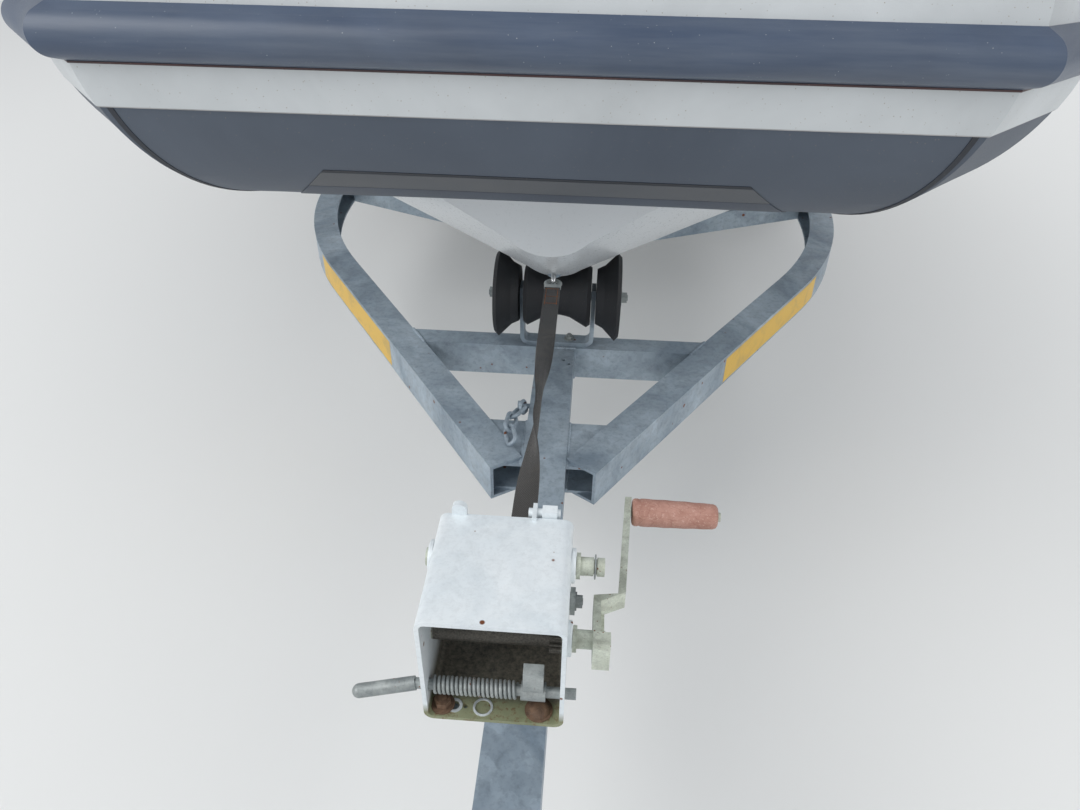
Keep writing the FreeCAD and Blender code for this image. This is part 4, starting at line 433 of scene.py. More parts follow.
def bridge(bm, rings):
    # joins closed rings of points into a skin and closes its two ends
    lines = [[bm.verts.new(spot) for spot in ring] for ring in rings]
    for first, second in zip(lines, lines[1:]):
        for j in range(len(first)):
            n = (j + 1) % len(first)
            bm.faces.new([first[j], first[n], second[n], second[j]])
    bm.faces.new(lines[0])
    bm.faces.new(lines[-1])
    return bm


def brick(bm, lowCorner, highCorner, rounding=0.0, segments=2):
    # a box between two corners with rounded edges
    made = bmesh.ops.create_cube(bm, size=1.0)["verts"]
    size = Vector(highCorner) - Vector(lowCorner)
    centre = (Vector(highCorner) + Vector(lowCorner)) / 2
    for vertex in made:
        vertex.co = vertex.co * size + centre
    if rounding:
        edges = list({edge for vertex in made for edge in vertex.link_edges})
        bmesh.ops.bevel(bm, geom=edges, offset=rounding, segments=segments, affect="EDGES", profile=0.5)
    return bm


def moved(bm, turn, axis, shift=(0, 0, 0), centre=(0, 0, 0)):
    bmesh.ops.rotate(bm, verts=bm.verts, cent=centre, matrix=Matrix.Rotation(turn, 3, axis))
    bmesh.ops.translate(bm, verts=bm.verts, vec=shift)
    return bm


def addTo(target, part):
    held = bpy.data.meshes.new("part")
    part.to_mesh(held)
    part.free()
    target.from_mesh(held)


def pipe(points, radius, closed=False, sides=3):
    # a round bar along points, as a plain mesh
    curve = bpy.data.curves.new("pipe", "CURVE")
    curve.dimensions = "3D"
    curve.bevel_depth = radius
    curve.bevel_resolution = sides
    curve.use_fill_caps = True
    spline = curve.splines.new("POLY")
    spline.points.add(len(points) - 1)
    for point, place in zip(spline.points, points):
        point.co = (*place, 1)
    spline.use_cyclic_u = closed
    holder = bpy.data.objects.new("pipe", curve)
    mesh = bpy.data.meshes.new_from_object(holder)
    bpy.data.objects.remove(holder)
    return mesh


def treeOf(mesh):
    # what rays can be cast at
    faces = [tuple(polygon.vertices) for polygon in mesh.polygons]
    return BVHTree.FromPolygons([vertex.co.copy() for vertex in mesh.vertices], faces)


# Geometry Nodes for what repeats
def newTree(name, inputs):
    tree = bpy.data.node_groups.new(name, "GeometryNodeTree")
    tree.interface.new_socket("Geometry", in_out="INPUT", socket_type="NodeSocketGeometry")
    sockets = {}
    for label, (kind, value) in inputs.items():
        socket = tree.interface.new_socket(label, in_out="INPUT", socket_type="NodeSocket" + kind)
        if value is not None:
            socket.default_value = value
        sockets[label] = socket.identifier
    tree.interface.new_socket("Geometry", in_out="OUTPUT", socket_type="NodeSocketGeometry")
    return tree, tree.nodes.new("NodeGroupInput").outputs, tree.nodes.new("NodeGroupOutput").inputs, sockets


def finishTree(tree, result, geometry, finish):
    real = put(tree, "GeometryNodeRealizeInstances", {"Geometry": geometry})
    painted = put(tree, "GeometryNodeSetMaterial", {"Geometry": real.outputs[0], "Material": finish})
    tree.links.new(painted.outputs[0], result["Geometry"])


def times(tree, value, factor):
    return maths(tree, "MULTIPLY", value, factor)


def aligned(tree, direction, axis):
    return put(tree, "FunctionNodeAlignRotationToVector", {"Vector": direction}, axis=axis).outputs[0]


def upBy(tree, height):
    return put(tree, "ShaderNodeCombineXYZ", {"Z": height}).outputs[0]


def shifted(tree, geometry, shift, turn=(0, 0, 0)):
    return put(tree, "GeometryNodeTransform", {"Geometry": geometry, "Translation": shift, "Rotation": turn}).outputs[0]


def copies(tree, points, shape, turn, **more):
    return put(tree, "GeometryNodeInstanceOnPoints", {"Points": points, "Instance": shape, "Rotation": turn, **more}).outputs[0]


def joinAll(tree, parts):
    made = tree.nodes.new("GeometryNodeJoinGeometry")
    for part in parts:
        tree.links.new(part, made.inputs[0])
    return made.outputs[0]


def boltTree():
    # a hexagon head on its washer with a stud's end, at every point, turned to the point's own direction
    tree, given, result, sockets = newTree("hexBolts", {"Size": ("Float", 0.008), "Stud": ("Float", 0.4),
                                                        "Finish": ("Material", None)})
    size, long = given["Size"], times(tree, given["Size"], given["Stud"])
    shapes = ((6, size, times(tree, size, 0.9), times(tree, size, 0.66)),
              (22, times(tree, size, 1.42), times(tree, size, 0.24), times(tree, size, 0.12)),
              (12, times(tree, size, 0.52), long, maths(tree, "MULTIPLY_ADD", long, 0.5, times(tree, size, 1.08))))
    parts = []
    for corners, radius, depth, height in shapes:
        made = put(tree, "GeometryNodeMeshCylinder", {"Vertices": corners, "Radius": radius, "Depth": depth})
        parts.append(shifted(tree, made.outputs[0], upBy(tree, height)))
    facing = put(tree, "GeometryNodeInputNamedAttribute", {"Name": "facing"}, data_type="FLOAT_VECTOR").outputs["Attribute"]
    placed = copies(tree, given["Geometry"], joinAll(tree, parts), aligned(tree, facing, "Z"))
    finishTree(tree, result, placed, given["Finish"])
    return tree, sockets


def beadTree():
    # small oval beads in a row along a line: weld ripples, stitches or ridges
    tree, given, result, sockets = newTree("beadRow", {
        "Pitch": ("Float", 0.003), "Bead": ("Vector", (0.003, 0.003, 0.002)), "Uneven": ("Float", 0.2), "Seed": ("Int", 4),
        "Finish": ("Material", None)})
    line = put(tree, "GeometryNodeMeshToCurve", {"Mesh": given["Geometry"]}).outputs[0]
    spaced = put(tree, "GeometryNodeResampleCurve", {"Curve": line, "Length": given["Pitch"]}, mode="LENGTH").outputs[0]
    bead = put(tree, "GeometryNodeMeshUVSphere", {"Radius": 1.0, "Segments": 8, "Rings": 5}).outputs[0]
    turn = aligned(tree, tree.nodes.new("GeometryNodeInputTangent").outputs[0], "X")
    least, most = (maths(tree, operation, 1.0, given["Uneven"]) for operation in ("SUBTRACT", "ADD"))
    swing = put(tree, "FunctionNodeRandomValue", {2: least, 3: most, "Seed": given["Seed"]}, data_type="FLOAT").outputs[1]
    size = put(tree, "ShaderNodeVectorMath", {0: given["Bead"], "Scale": swing}, operation="SCALE").outputs[0]
    finishTree(tree, result, copies(tree, spaced, bead, turn, Scale=size), given["Finish"])
    return tree, sockets


def treadTree():
    # rows of slanted blocks round a tyre that turns about X
    tree, given, result, sockets = newTree("tyreTread", {
        "Count": ("Int", 60), "Radius": ("Float", 0.28), "Width": ("Float", 0.09), "Block": ("Vector", (0.02, 0.022, 0.009)),
        "Place": ("Vector", (0, 0, 0)), "Finish": ("Material", None)})
    ring = put(tree, "GeometryNodeMeshCircle", {"Vertices": given["Count"], "Radius": given["Radius"]}).outputs[0]
    block = put(tree, "GeometryNodeMeshCube", {"Size": given["Block"]}).outputs[0]
    outward = aligned(tree, tree.nodes.new("GeometryNodeInputPosition").outputs[0], "Z")
    rows = []
    for share, phase, slant in ((-0.5, 0.0, 0.35), (-0.25, 0.5, -0.5), (0.0, 0.0, 0.0), (0.25, 0.5, 0.5), (0.5, 0.0, -0.35)):
        skew = put(tree, "FunctionNodeRotateRotation", {"Rotation": outward, "Rotate By": (0, 0, slant)}, rotation_space="LOCAL")
        spin = upBy(tree, maths(tree, "DIVIDE", 2 * math.pi * phase, given["Count"]))
        aside = upBy(tree, times(tree, given["Width"], share))
        rows.append(shifted(tree, copies(tree, ring, block, skew.outputs[0]), aside, spin))
    upright = shifted(tree, joinAll(tree, rows), given["Place"], (0, math.pi / 2, 0))
    finishTree(tree, result, upright, given["Finish"])
    return tree, sockets


trees = {"bolts": boltTree(), "beads": beadTree(), "tread": treadTree()}


def grown(treeName, mesh, finish, **values):
    # runs a tree on a mesh and gives back the result as a plain mesh
    tree, sockets = trees[treeName]
    holder = bpy.data.objects.new("grown", mesh)
    bpy.context.collection.objects.link(holder)
    modifier = holder.modifiers.new("tree", "NODES")
    modifier.node_group = tree
    modifier[sockets["Finish"]] = materials[finish]
    for label, value in values.items():
        modifier[sockets[label]] = value
    bpy.context.view_layer.update()
    result = bpy.data.meshes.new_from_object(holder.evaluated_get(bpy.context.evaluated_depsgraph_get()))
    bpy.data.objects.remove(holder)
    return result


def boltsAt(name, places, finish, size, stud=0.4, body=trailer):
    # bolts or nuts at places given as (point, direction)
    mesh = bpy.data.meshes.new(name + "Points")
    mesh.from_pydata([tuple(point) for point, facing in places], [], [])
    facings = mesh.attributes.new("facing", "FLOAT_VECTOR", "POINT")
    for row, (point, facing) in zip(facings.data, places):
        row.vector = facing
    return newPiece(name, grown("bolts", mesh, finish, Size=size, Stud=stud), finish, body, sharp=30)


def beadsAlong(name, lines, finish, pitch, bead, uneven=0.2, seed=4):
    # beads along one or more open lines of points
    points, edges = [], []
    for line in lines:
        start = len(points)
        points += [tuple(point) for point in line]
        edges += [(start + i, start + i + 1) for i in range(len(line) - 1)]
    mesh = bpy.data.meshes.new(name + "Lines")
    mesh.from_pydata(points, edges, [])
    return newPiece(name, grown("beads", mesh, finish, Pitch=pitch, Bead=bead, Uneven=uneven, Seed=seed), finish, sharp=80)


print("builders ready")

# Winch strap: flat at both ends, half turned between them, black at the hook and lighter towards the drum as painted
# sunlight
strap = {"wide": 0.028, "thick": 0.0024, "aside": 0.007, "turnStart": 0.16, "turnMiddle": 0.48, "turnEnd": 0.86, "cup": 0.006,
         "sag": 0.004, "narrow": 0.12, "stations": 180, "across": 9, "eyeLong": 0.07, "stitchIn": 0.36}
nearEnd = Vector((strap["aside"], low("bow_strap").y, high("bow_strap").z - 0.001))
farEnd = Vector((0.0, high("bow_strap").y, low("bow_strap").z + 0.001))
strapRun = (farEnd - nearEnd).normalized()
strapUp = wayX.cross(strapRun).normalized()


def easeBetween(value, start, end):
    share = min(1.0, max(0.0, (value - start) / (end - start)))
    return share * share * (3 - 2 * share)


def strapMesh():
    rows, uvs = [], []
    for i in range(strap["stations"] + 1):
        t = i / strap["stations"]
        early = easeBetween(t, strap["turnStart"], strap["turnMiddle"])
        late = easeBetween(t, strap["turnMiddle"], strap["turnEnd"])
        turn = math.pi / 2 * (early ** 1.6 + 1 - (1 - late) ** 1.6)
        side = wayX * math.cos(turn) + strapUp * math.sin(turn)
        up = strapUp * math.cos(turn) - wayX * math.sin(turn)
        centre = nearEnd.lerp(farEnd, t) - strapUp * strap["sag"] * math.sin(math.pi * t)
        upright = math.sin(turn) ** 2
        top, bottom, marks = [], [], []
        for j in range(strap["across"]):
            share = j / (strap["across"] - 1) * 2 - 1
            wave = 0.0004 * math.sin(9 * share + 40 * t) * (0.4 + upright)
            reach = side * share * strap["wide"] / 2 * (1 - strap["narrow"] * upright)
            point = centre + reach + up * (strap["cup"] * upright * (share * share - 0.5) + wave)
            top.append(point + up * strap["thick"] / 2)
            bottom.append(point - up * strap["thick"] / 2)
            marks.append((share / 2 + 0.5, t))
        rows.append(top + bottom[::-1])
        uvs += marks + marks[::-1]
    bm = bridge(bmesh.new(), rows)
    layer = bm.loops.layers.uv.new("UVMap")
    bm.verts.index_update()
    for face in bm.faces:
        if len(face.verts) == 4:
            for loop in face.loops:
                loop[layer].uv = uvs[loop.vert.index]
    return bm


newPiece("winchStrap", strapMesh(), "webbing", stands=["bow_strap"], sharp=60)
stitchUp, stitchOut = strapUp * (strap["thick"] / 2 + 0.0002), wayX * strap["wide"] * strap["stitchIn"]
stitchRows = []
for side in (-1, 1):
    edge = farEnd + stitchOut * side + stitchUp
    stitchRows.append([edge - strapRun * strap["eyeLong"], edge - strapRun * 0.012])
for step in (0.1, 0.55, 0.95):
    spot = farEnd - strapRun * strap["eyeLong"] * step + stitchUp
    stitchRows.append([spot - stitchOut, spot + stitchOut])
beadsAlong("strapStitches", stitchRows, "orangeThread", 0.004, (0.0016, 0.0006, 0.0005), 0.1)
print("strap ready")

# Winch: coil spring, worn grip, and what is bolted and riveted through the box
winch = {"wall": 0.004, "springTurns": 19, "springSteps": 16, "springRadius": 0.007, "springWire": 0.0015, "gripRadius": 0.015,
         "gripTaper": 0.0015, "gripSteps": 18, "boltX": -0.048, "rivetX": 0.040,
         "washers": ((-0.037, 0.0072, 0.0046), (-0.011, 0.0092, 0.0071)), "postX": (-0.044, 0.040), "postBack": (0.02, 0.1)}
winchLow = low("winch_housing")
floorTop = winchLow.z + winch["wall"]
springLow, springHigh, springMiddle = low("winch_spring"), high("winch_spring"), middle("winch_spring")
coil = []
coilSteps = winch["springTurns"] * winch["springSteps"]
for i in range(coilSteps + 1):
    angle = 2 * math.pi * i / winch["springSteps"]
    coil.append((springLow.x + 0.002 + (springHigh.x - springLow.x - 0.004) * i / coilSteps,
                 springMiddle.y + winch["springRadius"] * math.cos(angle),
                 springMiddle.z + winch["springRadius"] * math.sin(angle)))
newPiece("pawlSpring", pipe(coil, winch["springWire"], sides=2), "dullZinc", stands=["winch_spring"], sharp=80)

gripLow, gripHigh, gripMiddle = low("winch_grip"), high("winch_grip"), middle("winch_grip")
gripLong = gripHigh.x - gripLow.x
root, end = winch["gripRadius"], winch["gripRadius"] - winch["gripTaper"]
gripProfile = [(0.0, 0.0052), (0.0, root - 0.003), (0.0008, root - 0.0012), (0.0026, root - 0.0002), (0.006, root),
               (0.0068, root - 0.0006), (0.0085, root - 0.0006), (0.0092, root)]
for i in range(1, winch["gripSteps"]):
    share = i / winch["gripSteps"]
    worn = 0.0004 * math.sin(math.pi * share) + 0.00018 * math.sin(23 * share)
    gripProfile.append((0.0092 + (gripLong - 0.0152) * share, root + (end - root) * share + worn))
gripProfile += [(gripLong - 0.0052, end), (gripLong - 0.002, end - 0.0012), (gripLong - 0.0006, end - 0.0032),
                (gripLong, end - 0.0062), (gripLong, 0.0056), (gripLong - 0.002, 0.0052), (0.0, 0.0052)]
turned("crankGrip", (gripLow.x, gripMiddle.y, gripMiddle.z), wayX, gripProfile, 56, "fadedGrip", "winch_grip", ["winch_grip"], 50)
rivet = [(-0.002, 0.0046), (0.0006, 0.0049), (0.0018, 0.004), (0.0024, 0.0022), (0.0026, 0.0)]
turned("gripRivet", (gripHigh.x + 0.0002, gripMiddle.y, gripMiddle.z), wayX, rivet, 28, "dullZinc", "winch_crank")

boltsAt("floorBolt", [((winch["boltX"], winchLow.y + 0.0125, floorTop), wayZ)], "rustyBolt", 0.0078, 0.3)
dome = [(0.0, 0.0), (0.0, 0.0128), (0.0012, 0.0128), (0.0016, 0.0108), (0.0036, 0.0102), (0.0058, 0.0082), (0.0072, 0.005),
        (0.0078, 0.0)]
turned("floorRivet", (winch["rivetX"], winchLow.y + 0.0135, floorTop), wayZ, dome, 40, "rustyBolt")
washers = bmesh.new()
for x, outer, inner in winch["washers"]:
    washer = [(0, inner), (0.0009, inner), (0.0012, inner + 0.0006), (0.0009, outer), (0, outer), (0, inner)]
    lathe(washers, (x, winchLow.y + 0.012, floorTop), wayZ, washer, 36)
newPiece("floorWashers", washers, "brightZinc")
stubEnd = middle("winch_stub_shaft")
stubEnd.x = high("winch_stub_shaft").x - 0.0085
clip = [(-0.0006, 0.0068), (-0.0006, 0.0112), (0.0006, 0.0112), (0.0006, 0.0068), (-0.0006, 0.0068)]
turned("stubClip", stubEnd, wayX, clip, 36, "dullZinc", "winch_stub_shaft")
postSpots = [(x, winchLow.y + back, winchLow.z - 0.0062) for x in winch["postX"] for back in winch["postBack"]]
boltsAt("postBolts", [(spot, -wayZ) for spot in postSpots], "dullZinc", 0.0075, 0.6)
drumLow, drumHigh, drumMiddle = low("winch_drum"), high("winch_drum"), middle("winch_drum")
drumEnds = [((x, drumMiddle.y, drumMiddle.z), wayX * side) for x, side in ((drumHigh.x, 1), (drumLow.x, -1))]
boltsAt("drumNuts", drumEnds, "dullZinc", 0.0062, 0.1, "winch_drum")
print("winch ready")


# Skins that lie on a surface: a slice of a node's or a piece's own mesh between planes, lifted a little
def skin(name, mesh, planes, thick, finish, body=trailer, keep=None, sink=0.0003):
    bm = bmesh.new()
    bm.from_mesh(mesh)
    bmesh.ops.remove_doubles(bm, verts=bm.verts, dist=1e-5)
    bmesh.ops.recalc_face_normals(bm, faces=bm.faces)
    for point, normal in planes:
        everything = bm.verts[:] + bm.edges[:] + bm.faces[:]
        bmesh.ops.bisect_plane(bm, geom=everything, plane_co=point, plane_no=normal, clear_outer=True)
    if keep:
        bmesh.ops.delete(bm, geom=[face for face in bm.faces if not keep(face.calc_center_median())], context="FACES")
        bmesh.ops.delete(bm, geom=[vertex for vertex in bm.verts if not vertex.link_faces], context="VERTS")
    bm.normal_update()
    below, rim, faces = list(bm.verts), [edge for edge in bm.edges if edge.is_boundary], list(bm.faces)
    normals = [vertex.normal.copy() for vertex in below]
    above = {vertex: bm.verts.new(vertex.co + normal * thick) for vertex, normal in zip(below, normals)}
    for face in faces:
        bm.faces.new([above[vertex] for vertex in face.verts])
    for edge in rim:
        first, second = edge.verts
        bm.faces.new([first, second, above[second], above[first]])
    for vertex, normal in zip(below, normals):
        vertex.co -= normal * sink
    return newPiece(name, bm, finish, body, sharp=60)


def slicePlanes(point, normal, wide):
    point, normal = Vector(point), Vector(normal).normalized()
    return [(point + normal * wide / 2, normal), (point - normal * wide / 2, -normal)]


# Trailer frame: sweep of the arms, repeated here in metres for the welds and stickers
sweep = {"startX": 0.0945, "startY": -1.497, "turn": 33.9, "straight": 0.897, "radius": 1.0, "flange": 0.065,
         "stickerFrom": 0.495, "stickerTo": 0.99, "stickerLow": 0.400, "stickerHigh": 0.462, "stickerThick": 0.0003,
         "stickerSteps": 40}
sweepTurn = math.radians(sweep["turn"])


def webSpot(s, side, out, up):
    # a point beside an arm's outer web, s metres from its front end
    heading = sweepTurn if s <= sweep["straight"] else sweepTurn - (s - sweep["straight"]) / sweep["radius"]
    facing = Vector((math.cos(heading), -math.sin(heading), 0))
    run = min(s, sweep["straight"])
    spot = Vector((sweep["startX"] + run * math.sin(sweepTurn), sweep["startY"] + run * math.cos(sweepTurn), 0))
    if s > sweep["straight"]:
        centre = spot - Vector((math.cos(sweepTurn), -math.sin(sweepTurn), 0)) * sweep["radius"]
        spot = centre + facing * sweep["radius"]
    spot += facing * out
    return Vector((spot.x * side, spot.y, up))


for side, word in named:
    section = [(out, sweep[level]) for out, level in ((0.0, "stickerLow"), (sweep["stickerThick"], "stickerLow"),
                                                      (sweep["stickerThick"], "stickerHigh"), (0.0, "stickerHigh"))]
    stations = [sweep["stickerFrom"] + (sweep["stickerTo"] - sweep["stickerFrom"]) * i / sweep["stickerSteps"]
                for i in range(sweep["stickerSteps"] + 1)]
    rings = [[webSpot(s, side, out, up) for out, up in section] for s in stations]
    newPiece("sticker" + word, bridge(bmesh.new(), rings), "stickerYellow", sharp=20)


def innerX(y):
    # where an arm's inner flange ends
    return sweep["startX"] + (y - sweep["startY"]) * math.tan(sweepTurn) - sweep["flange"] / math.cos(sweepTurn)


crossLow, crossHigh = low("front_crossmember"), high("front_crossmember")
gussetLow, gussetHigh = low("gusset_plates"), high("gusset_plates")
barHalf = high("drawbar").x
ahead, above = crossLow.y - 0.001, crossHigh.z + 0.0005
welds = []
for side in sides:
    front, back, bar = side * innerX(crossLow.y), side * innerX(crossHigh.y), side * (barHalf + 0.001)
    welds += [[(front, ahead, crossLow.z + 0.002), (front, ahead, crossHigh.z)],
              [(front, crossLow.y, above), (back, crossHigh.y, above)],
              [(bar, ahead, low("drawbar").z + 0.006), (bar, ahead, crossHigh.z)]]
    welds += [[(bar, gussetLow.y + 0.002, z), (bar, gussetHigh.y - 0.002, z)]
              for z in (gussetHigh.z + 0.0005, gussetLow.z + 0.0065)]
welds.append([(-barHalf + 0.002, crossLow.y - 0.0005, above), (barHalf - 0.002, crossLow.y - 0.0005, above)])
beadsAlong("frameWelds", welds, "galvanised", 0.0045, (0.0036, 0.0042, 0.0028), 0.22, 6)
postSeam = high("winch_post").z - 0.0072
postWelds = [[(x, winchLow.y + back, postSeam) for back in (0.012, 0.116)] for x in (-0.031, 0.031)]
beadsAlong("postWelds", postWelds, "galvanised", 0.004, (0.0032, 0.0036, 0.0026), 0.22, 8)
print("frame details ready")

# Fasteners of the running gear and the roller bracket: places with their directions, size, length of the stud
pinY, pinZ = middle("bow_roller_middle").yz
bracketTop = low("bow_roller_bracket").z + 0.0092
headHigh = high("coupling_head")
fasteners = {
    "rollerNuts": ([((high("bow_roller_right").x + 0.0006, pinY, pinZ), wayX),
                    ((low("bow_roller_left").x - 0.0006, pinY, pinZ), -wayX)],
                   0.0125, 0.2),
    "bracketBolts": ([((x, middle("bow_roller_bracket").y, bracketTop), wayZ) for x in (-0.027, 0.027)], 0.008, 0.5),
    "keelPinNuts_front": ([(middle("keel_roller_front") + wayX * 0.0765 * side, wayX * side) for side in sides], 0.0115, 0.2),
    "keelPinNuts_rear": ([(middle("keel_roller_rear") + wayX * 0.0765 * side, wayX * side) for side in sides], 0.0115, 0.2),
    "couplingBolts": ([((side * headHigh.x, headHigh.y - back, 0.431), wayX * side) for side in sides for back in (0.03, 0.095)],
                      0.0095, 0.7),
    "guardBolts": ([((side * x, y, 0.4325), wayY * facing) for side in sides for x in (0.80, 0.95)
                    for y, facing in ((0.8425, 1), (1.5245, -1))], 0.006, 0.5),
    "axleBolts": ([((side * 0.735, y, 0.402), wayZ) for side in sides for y in (1.105, 1.145)], 0.0095, 0.7),
    "bunkBolts": ([((side * (0.45 + out * 0.0205), y, 0.536), wayX * side * out) for side in sides for out in sides
                   for y in (1.123, 2.293)], 0.0075, 0.6),
}
for name, (places, size, stud) in fasteners.items():
    boltsAt(name, places, "dullZinc", size, stud)
print("fasteners ready")

# Wheels: carcass with grooves, tread blocks, nuts, dust cap and valve
wheelLook = {"radius": 0.289, "half": 0.0775, "blocks": 66, "blockSize": (0.019, 0.0225, 0.010), "blockSink": 0.0056,
             "treadWide": 0.094, "nutCircle": 0.0725, "nuts": 4, "nutSize": 0.0108, "nutFace": 0.0285, "capRadius": 0.033,
             "capOut": 0.045, "valve": (0.022, -0.127)}
r, h, capR = wheelLook["radius"], wheelLook["half"], wheelLook["capRadius"]
tyreDrops = ((0.0, 0.0085), (0.006, 0.0085), (0.030, 0.009), (0.046, 0.0105), (0.055, 0.014), (0.0625, 0.021), (0.0705, 0.034),
             (0.0752, 0.050), (h, 0.070), (h, 0.076), (0.0766, 0.078), (0.0766, 0.082), (0.0755, 0.0845), (0.0735, 0.098),
             (0.0705, 0.108), (0.0700, 0.1095), (0.0662, 0.1145), (0.0600, 0.1205), (0.0555, 0.1238), (0.040, 0.1238))
tyreProfile = mirrored([(along, r - drop) for along, drop in tyreDrops])
capProfile = [(-0.006, 0.0), (-0.006, capR), (0.004, capR), (0.006, capR - 0.003), (0.0105, capR - 0.0035), (0.0112, 0.0)]
stemProfile = [(0.0, 0.0), (0.0, 0.0052), (0.006, 0.0048), (0.010, 0.0032), (0.026, 0.003), (0.0265, 0.0042), (0.036, 0.0040),
               (0.0372, 0.0)]
for word, side in (("right", 1), ("left", -1)):
    body, centre = "road_wheel_" + word, middle("tyre_" + word)
    turned("tyreBody_" + word, centre, wayX, tyreProfile, 96, "tyreRubber", body, ["tyre_" + word], 50)
    tread = grown("tread", bpy.data.meshes.new("treadStart"), "tyreRubber", Count=wheelLook["blocks"],
                  Width=wheelLook["treadWide"], Radius=r - wheelLook["blockSink"], Block=wheelLook["blockSize"],
                  Place=tuple(centre))
    newPiece("tyreTread_" + word, tread, "tyreRubber", body, sharp=30)
    angles = [2 * math.pi * (i + 0.5) / wheelLook["nuts"] for i in range(wheelLook["nuts"])]
    face, circle = side * wheelLook["nutFace"], wheelLook["nutCircle"]
    nuts = [(centre + Vector((face, circle * math.cos(angle), circle * math.sin(angle))), wayX * side) for angle in angles]
    boltsAt("wheelNuts_" + word, nuts, "dullZinc", wheelLook["nutSize"], 0.9, body)
    turned("dustCap_" + word, centre + wayX * side * wheelLook["capOut"], wayX * side, capProfile, 56, "dullZinc", body)
    out, up = wheelLook["valve"]
    turned("valveStem_" + word, centre + Vector((side * out, 0, up)), (side, 0, 0.35), stemProfile, 20, "blackRubber", body)
print("wheels ready")

# Jockey wheel and crank knob
jockey = {"radius": 0.1, "half": 0.026, "ribs": 6, "ribThick": 0.004, "ribIn": 0.0118, "ribOut": 0.0212, "ribLow": 0.026,
          "ribHigh": 0.070, "knob": (-0.086, -2.696, 0.8)}
jockeyCentre = middle("jockey_wheel")
jh = jockey["half"]
jockeyDrops = ((0.0, 0.0), (0.0075, 0.0), (0.0082, 0.0016), (0.0102, 0.0016), (0.011, 0.0004), (0.016, 0.0014), (0.0215, 0.005),
               (0.0250, 0.011), (jh, 0.016), (jh, 0.025), (0.0246, 0.0272), (0.0130, 0.0340), (0.0122, 0.036))
jockeyHub = [(0.0122, 0.031), (0.0132, 0.0290), (0.0246, 0.0255), (jh, 0.0240), (jh, 0.0085)]
jockeyProfile = mirrored([(along, jockey["radius"] - drop) for along, drop in jockeyDrops] + jockeyHub)
turned("jockeyTyre", jockeyCentre, wayX, jockeyProfile, 72, "blackRubber", "jockey_wheel", ["jockey_wheel"], 45)
ribs = bmesh.new()
for i in range(jockey["ribs"]):
    for side in sides:
        near, far = sorted((side * jockey["ribIn"], side * jockey["ribOut"]))
        halfRib = jockey["ribThick"] / 2
        rib = brick(bmesh.new(), jockeyCentre + Vector((near, -halfRib, jockey["ribLow"])),
                    jockeyCentre + Vector((far, halfRib, jockey["ribHigh"])), 0.0008, 1)
        addTo(ribs, moved(rib, 2 * math.pi * i / jockey["ribs"], "X", centre=jockeyCentre))
newPiece("jockeyRibs", ribs, "blackRubber", "jockey_wheel")
knob = [(-0.001, 0.0), (-0.001, 0.0118), (0.002, 0.0136), (0.016, 0.0128), (0.034, 0.0133), (0.052, 0.0128), (0.063, 0.0136),
        (0.0676, 0.0118), (0.0686, 0.0)]
turned("jockeyKnob", jockey["knob"], wayZ, knob, 40, "blackRubber", "jockey_crank")
print("jockey wheel ready")

# Tube skin: rings swept along the tube's own line and cut on the corner planes, with small puckers beside the glued seams
tubeLook = {"seamIn": 0.016, "bow": (0.336, -1.577), "gore": (0.4037, -1.4903), "side": (0.775, -0.001), "kneeY": 0.166,
            "tailY": 2.623, "up": 1.004, "radius": 0.225, "goreTurn": 52, "sideTurn": 76, "seamWide": 0.0055, "seamThick": 0.0007,
            "rise": 8, "sides": 112, "step": 0.045, "coneTip": 0.095, "coneLong": 0.32, "pucker": 0.0011, "puckerReach": 0.10,
            "slack": 0.0012}
sideX, bowY, tubeR = tubeLook["side"][0], tubeLook["bow"][1], tubeLook["radius"]
rise = math.radians(tubeLook["rise"])
halfLine = [tubeLook["bow"], tubeLook["gore"], tubeLook["side"], (sideX, tubeLook["kneeY"]), (sideX, tubeLook["tailY"])]
tubeLine = [Vector((x, y, tubeLook["up"] + max(0.0, tubeLook["kneeY"] - y) * math.tan(rise)))
            for x, y in [(-x, y) for x, y in reversed(halfLine)] + halfLine]


def mitredRuns(section):
    # each straight run of the tubes: its start, its way, its place among the runs, and where the corner planes cut every spoke
    runs = [(b - a).normalized() for a, b in zip(tubeLine, tubeLine[1:])]
    for i, run in enumerate(runs):
        first, last = i == 0, i == len(runs) - 1
        outward = run.cross(wayZ if first or last else Vector((0, math.sin(rise), math.cos(rise)))).normalized()
        up = outward.cross(run)
        length = (tubeLine[i + 1] - tubeLine[i]).length
        before = run if first else runs[i - 1] + run
        after = run if last else run + runs[i + 1]
        lines = []
        for turn, reach in section:
            arm = outward * math.cos(turn) + up * math.sin(turn)
            spoke = arm * reach
            lines.append((arm, spoke, -spoke.dot(before) / run.dot(before), length - spoke.dot(after) / run.dot(after)))
        yield tubeLine[i], run, i, first, last, lines


def stripAlong(name, lowTurn, highTurn, radius, thick, finish, steps=4):
    # a thin strip that follows the tubes at an angle below or above the widest line
    turns = [math.radians(lowTurn + (highTurn - lowTurn) * i / steps) for i in range(steps + 1)]
    section = [(turn, radius + thick) for turn in turns] + [(turn, radius) for turn in reversed(turns)]
    bm = bridge(bmesh.new(), [[begin + spoke + run * (start + (finish - start) * share) for arm, spoke, start, finish in lines]
                              for begin, run, i, first, last, lines in mitredRuns(section) for share in (0.0, 1.0)])
    bmesh.ops.remove_doubles(bm, verts=bm.verts, dist=1e-6)
    bmesh.ops.dissolve_degenerate(bm, edges=bm.edges[:], dist=1e-7)
    return newPiece(name, bm, finish, sharp=30)


